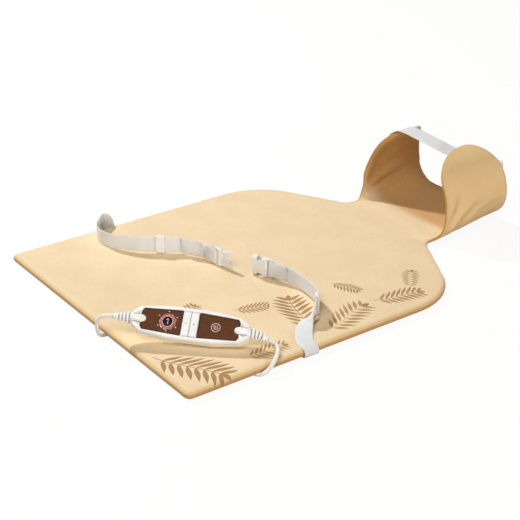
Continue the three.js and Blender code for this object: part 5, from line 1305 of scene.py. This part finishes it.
def relief(name, side, bend, node):
    profile, grooves = relief_profile()
    solid = turned(profile, RELIEF_SIDES)
    angle = math.radians(bend)
    for p in solid[0]:
        along = p.z - SHOULDER_X
        if along > 0 and angle > 0:
            r = (TIP_X - SHOULDER_X) / angle
            a = along / r
            p.y, p.z = (r + p.y) * math.cos(a) - r, SHOULDER_X + (r + p.y) * math.sin(a)
    piece = controller_piece(name, along_x(solid, side), plastic_housing, plastic_painted_shade, node=node)
    # painted shade: the groove faces take the grey material
    for poly in piece.data.polygons:
        if poly.index // RELIEF_SIDES in grooves:
            poly.material_index = 1


relief("mains_relief_sleeve", 1, 22, "mains_strain_relief")
relief("pad_relief_sleeve", -1, 0, "pad_strain_relief")

# Materials of the CAD pieces that stay, and softened edges for six moulded ones
FINISHES = (
    (plastic_white, ("coupling_socket", "coupling_plug", "belt_slider", "belt_adjuster", "buckle_plug",
                     "buckle_socket", "mains_plug_body")),
    (plastic_black, ("thermal_cutout_1", "thermal_cutout_2", "minus_switch", "plus_switch", "digit_display",
                     "control_chip", "power_switch", "capacitor", "coil_tie")),
    (plastic_red, ("heating_wire",)),
    (board_green, ("circuit_board",)),
    (steel, ("fuse", "housing_screw_1", "housing_screw_2", "housing_screw_3", "housing_screw_4")),
    (cord_white, ("mains_plug_relief",)),
    (brass, ("mains_plug_pin_1", "mains_plug_pin_2")),
)
for material, names in FINISHES:
    for name in names:
        data = nodes[name].data
        data.materials.clear()
        data.materials.append(material)
        for poly in data.polygons:
            poly.material_index = 0
SOFTENED = ("belt_slider", "belt_adjuster", "buckle_plug", "buckle_socket", "mains_plug_body",
            "coupling_socket")
for name in SOFTENED:
    mod = nodes[name].modifiers.new("soft_edges", "BEVEL")
    mod.width = 0.0004
    mod.segments = 2
    mod.limit_method = "ANGLE"
    mod.angle_limit = math.radians(35)


# Floor and surround
def two_looks(owner, output, lit, seen, share):
    """One shader lights the object; a share of the other is what the camera sees, mirrored too."""
    owner.use_nodes = True
    owner.node_tree.nodes.clear()
    n = Nodes(owner.node_tree)
    path = n.add("ShaderNodeLightPath", {})
    camera, glossy, glass = [Value(n, path.socket.node.outputs[f"Is {ray} Ray"])
                             for ray in ("Camera", "Glossy", "Transmission")]
    factor = camera.op("MAXIMUM", glossy).op("MAXIMUM", glass) * share
    mixed = n.add("ShaderNodeMixShader", {0: factor, 1: n.add(*lit), 2: n.add(*seen)})
    n.put(n.tree.nodes.new(output).inputs["Surface"], mixed)


floor_look = bpy.data.materials.new("floor")
floor_lit = ("ShaderNodeBsdfDiffuse", {"Color": (0.5, 0.48, 0.45)})
floor_seen = ("ShaderNodeEmission", {"Color": (1, 1, 1), "Strength": 1.12})
two_looks(floor_look, "ShaderNodeOutputMaterial", floor_lit, floor_seen, 0.82)
# In metres, a hair under the part
FLOOR_HALF, FLOOR_DROP = 30.0, -0.0002
corners = [(x, y, FLOOR_DROP) for x, y in rect(-FLOOR_HALF, FLOOR_HALF, FLOOR_HALF)]
floor = new_mesh("floor", (corners, [(0, 1, 2, 3)]), floor_look)

world = bpy.data.worlds.new("world")
scene.world = world
sky_lit = ("ShaderNodeBackground", {"Color": (1, 0.8, 0.56), "Strength": 0.13})
sky_seen = ("ShaderNodeBackground", {"Color": (1, 1, 1), "Strength": 1.0})
two_looks(world, "ShaderNodeOutputWorld", sky_lit, sky_seen, 1.0)

bpy.context.view_layer.update()
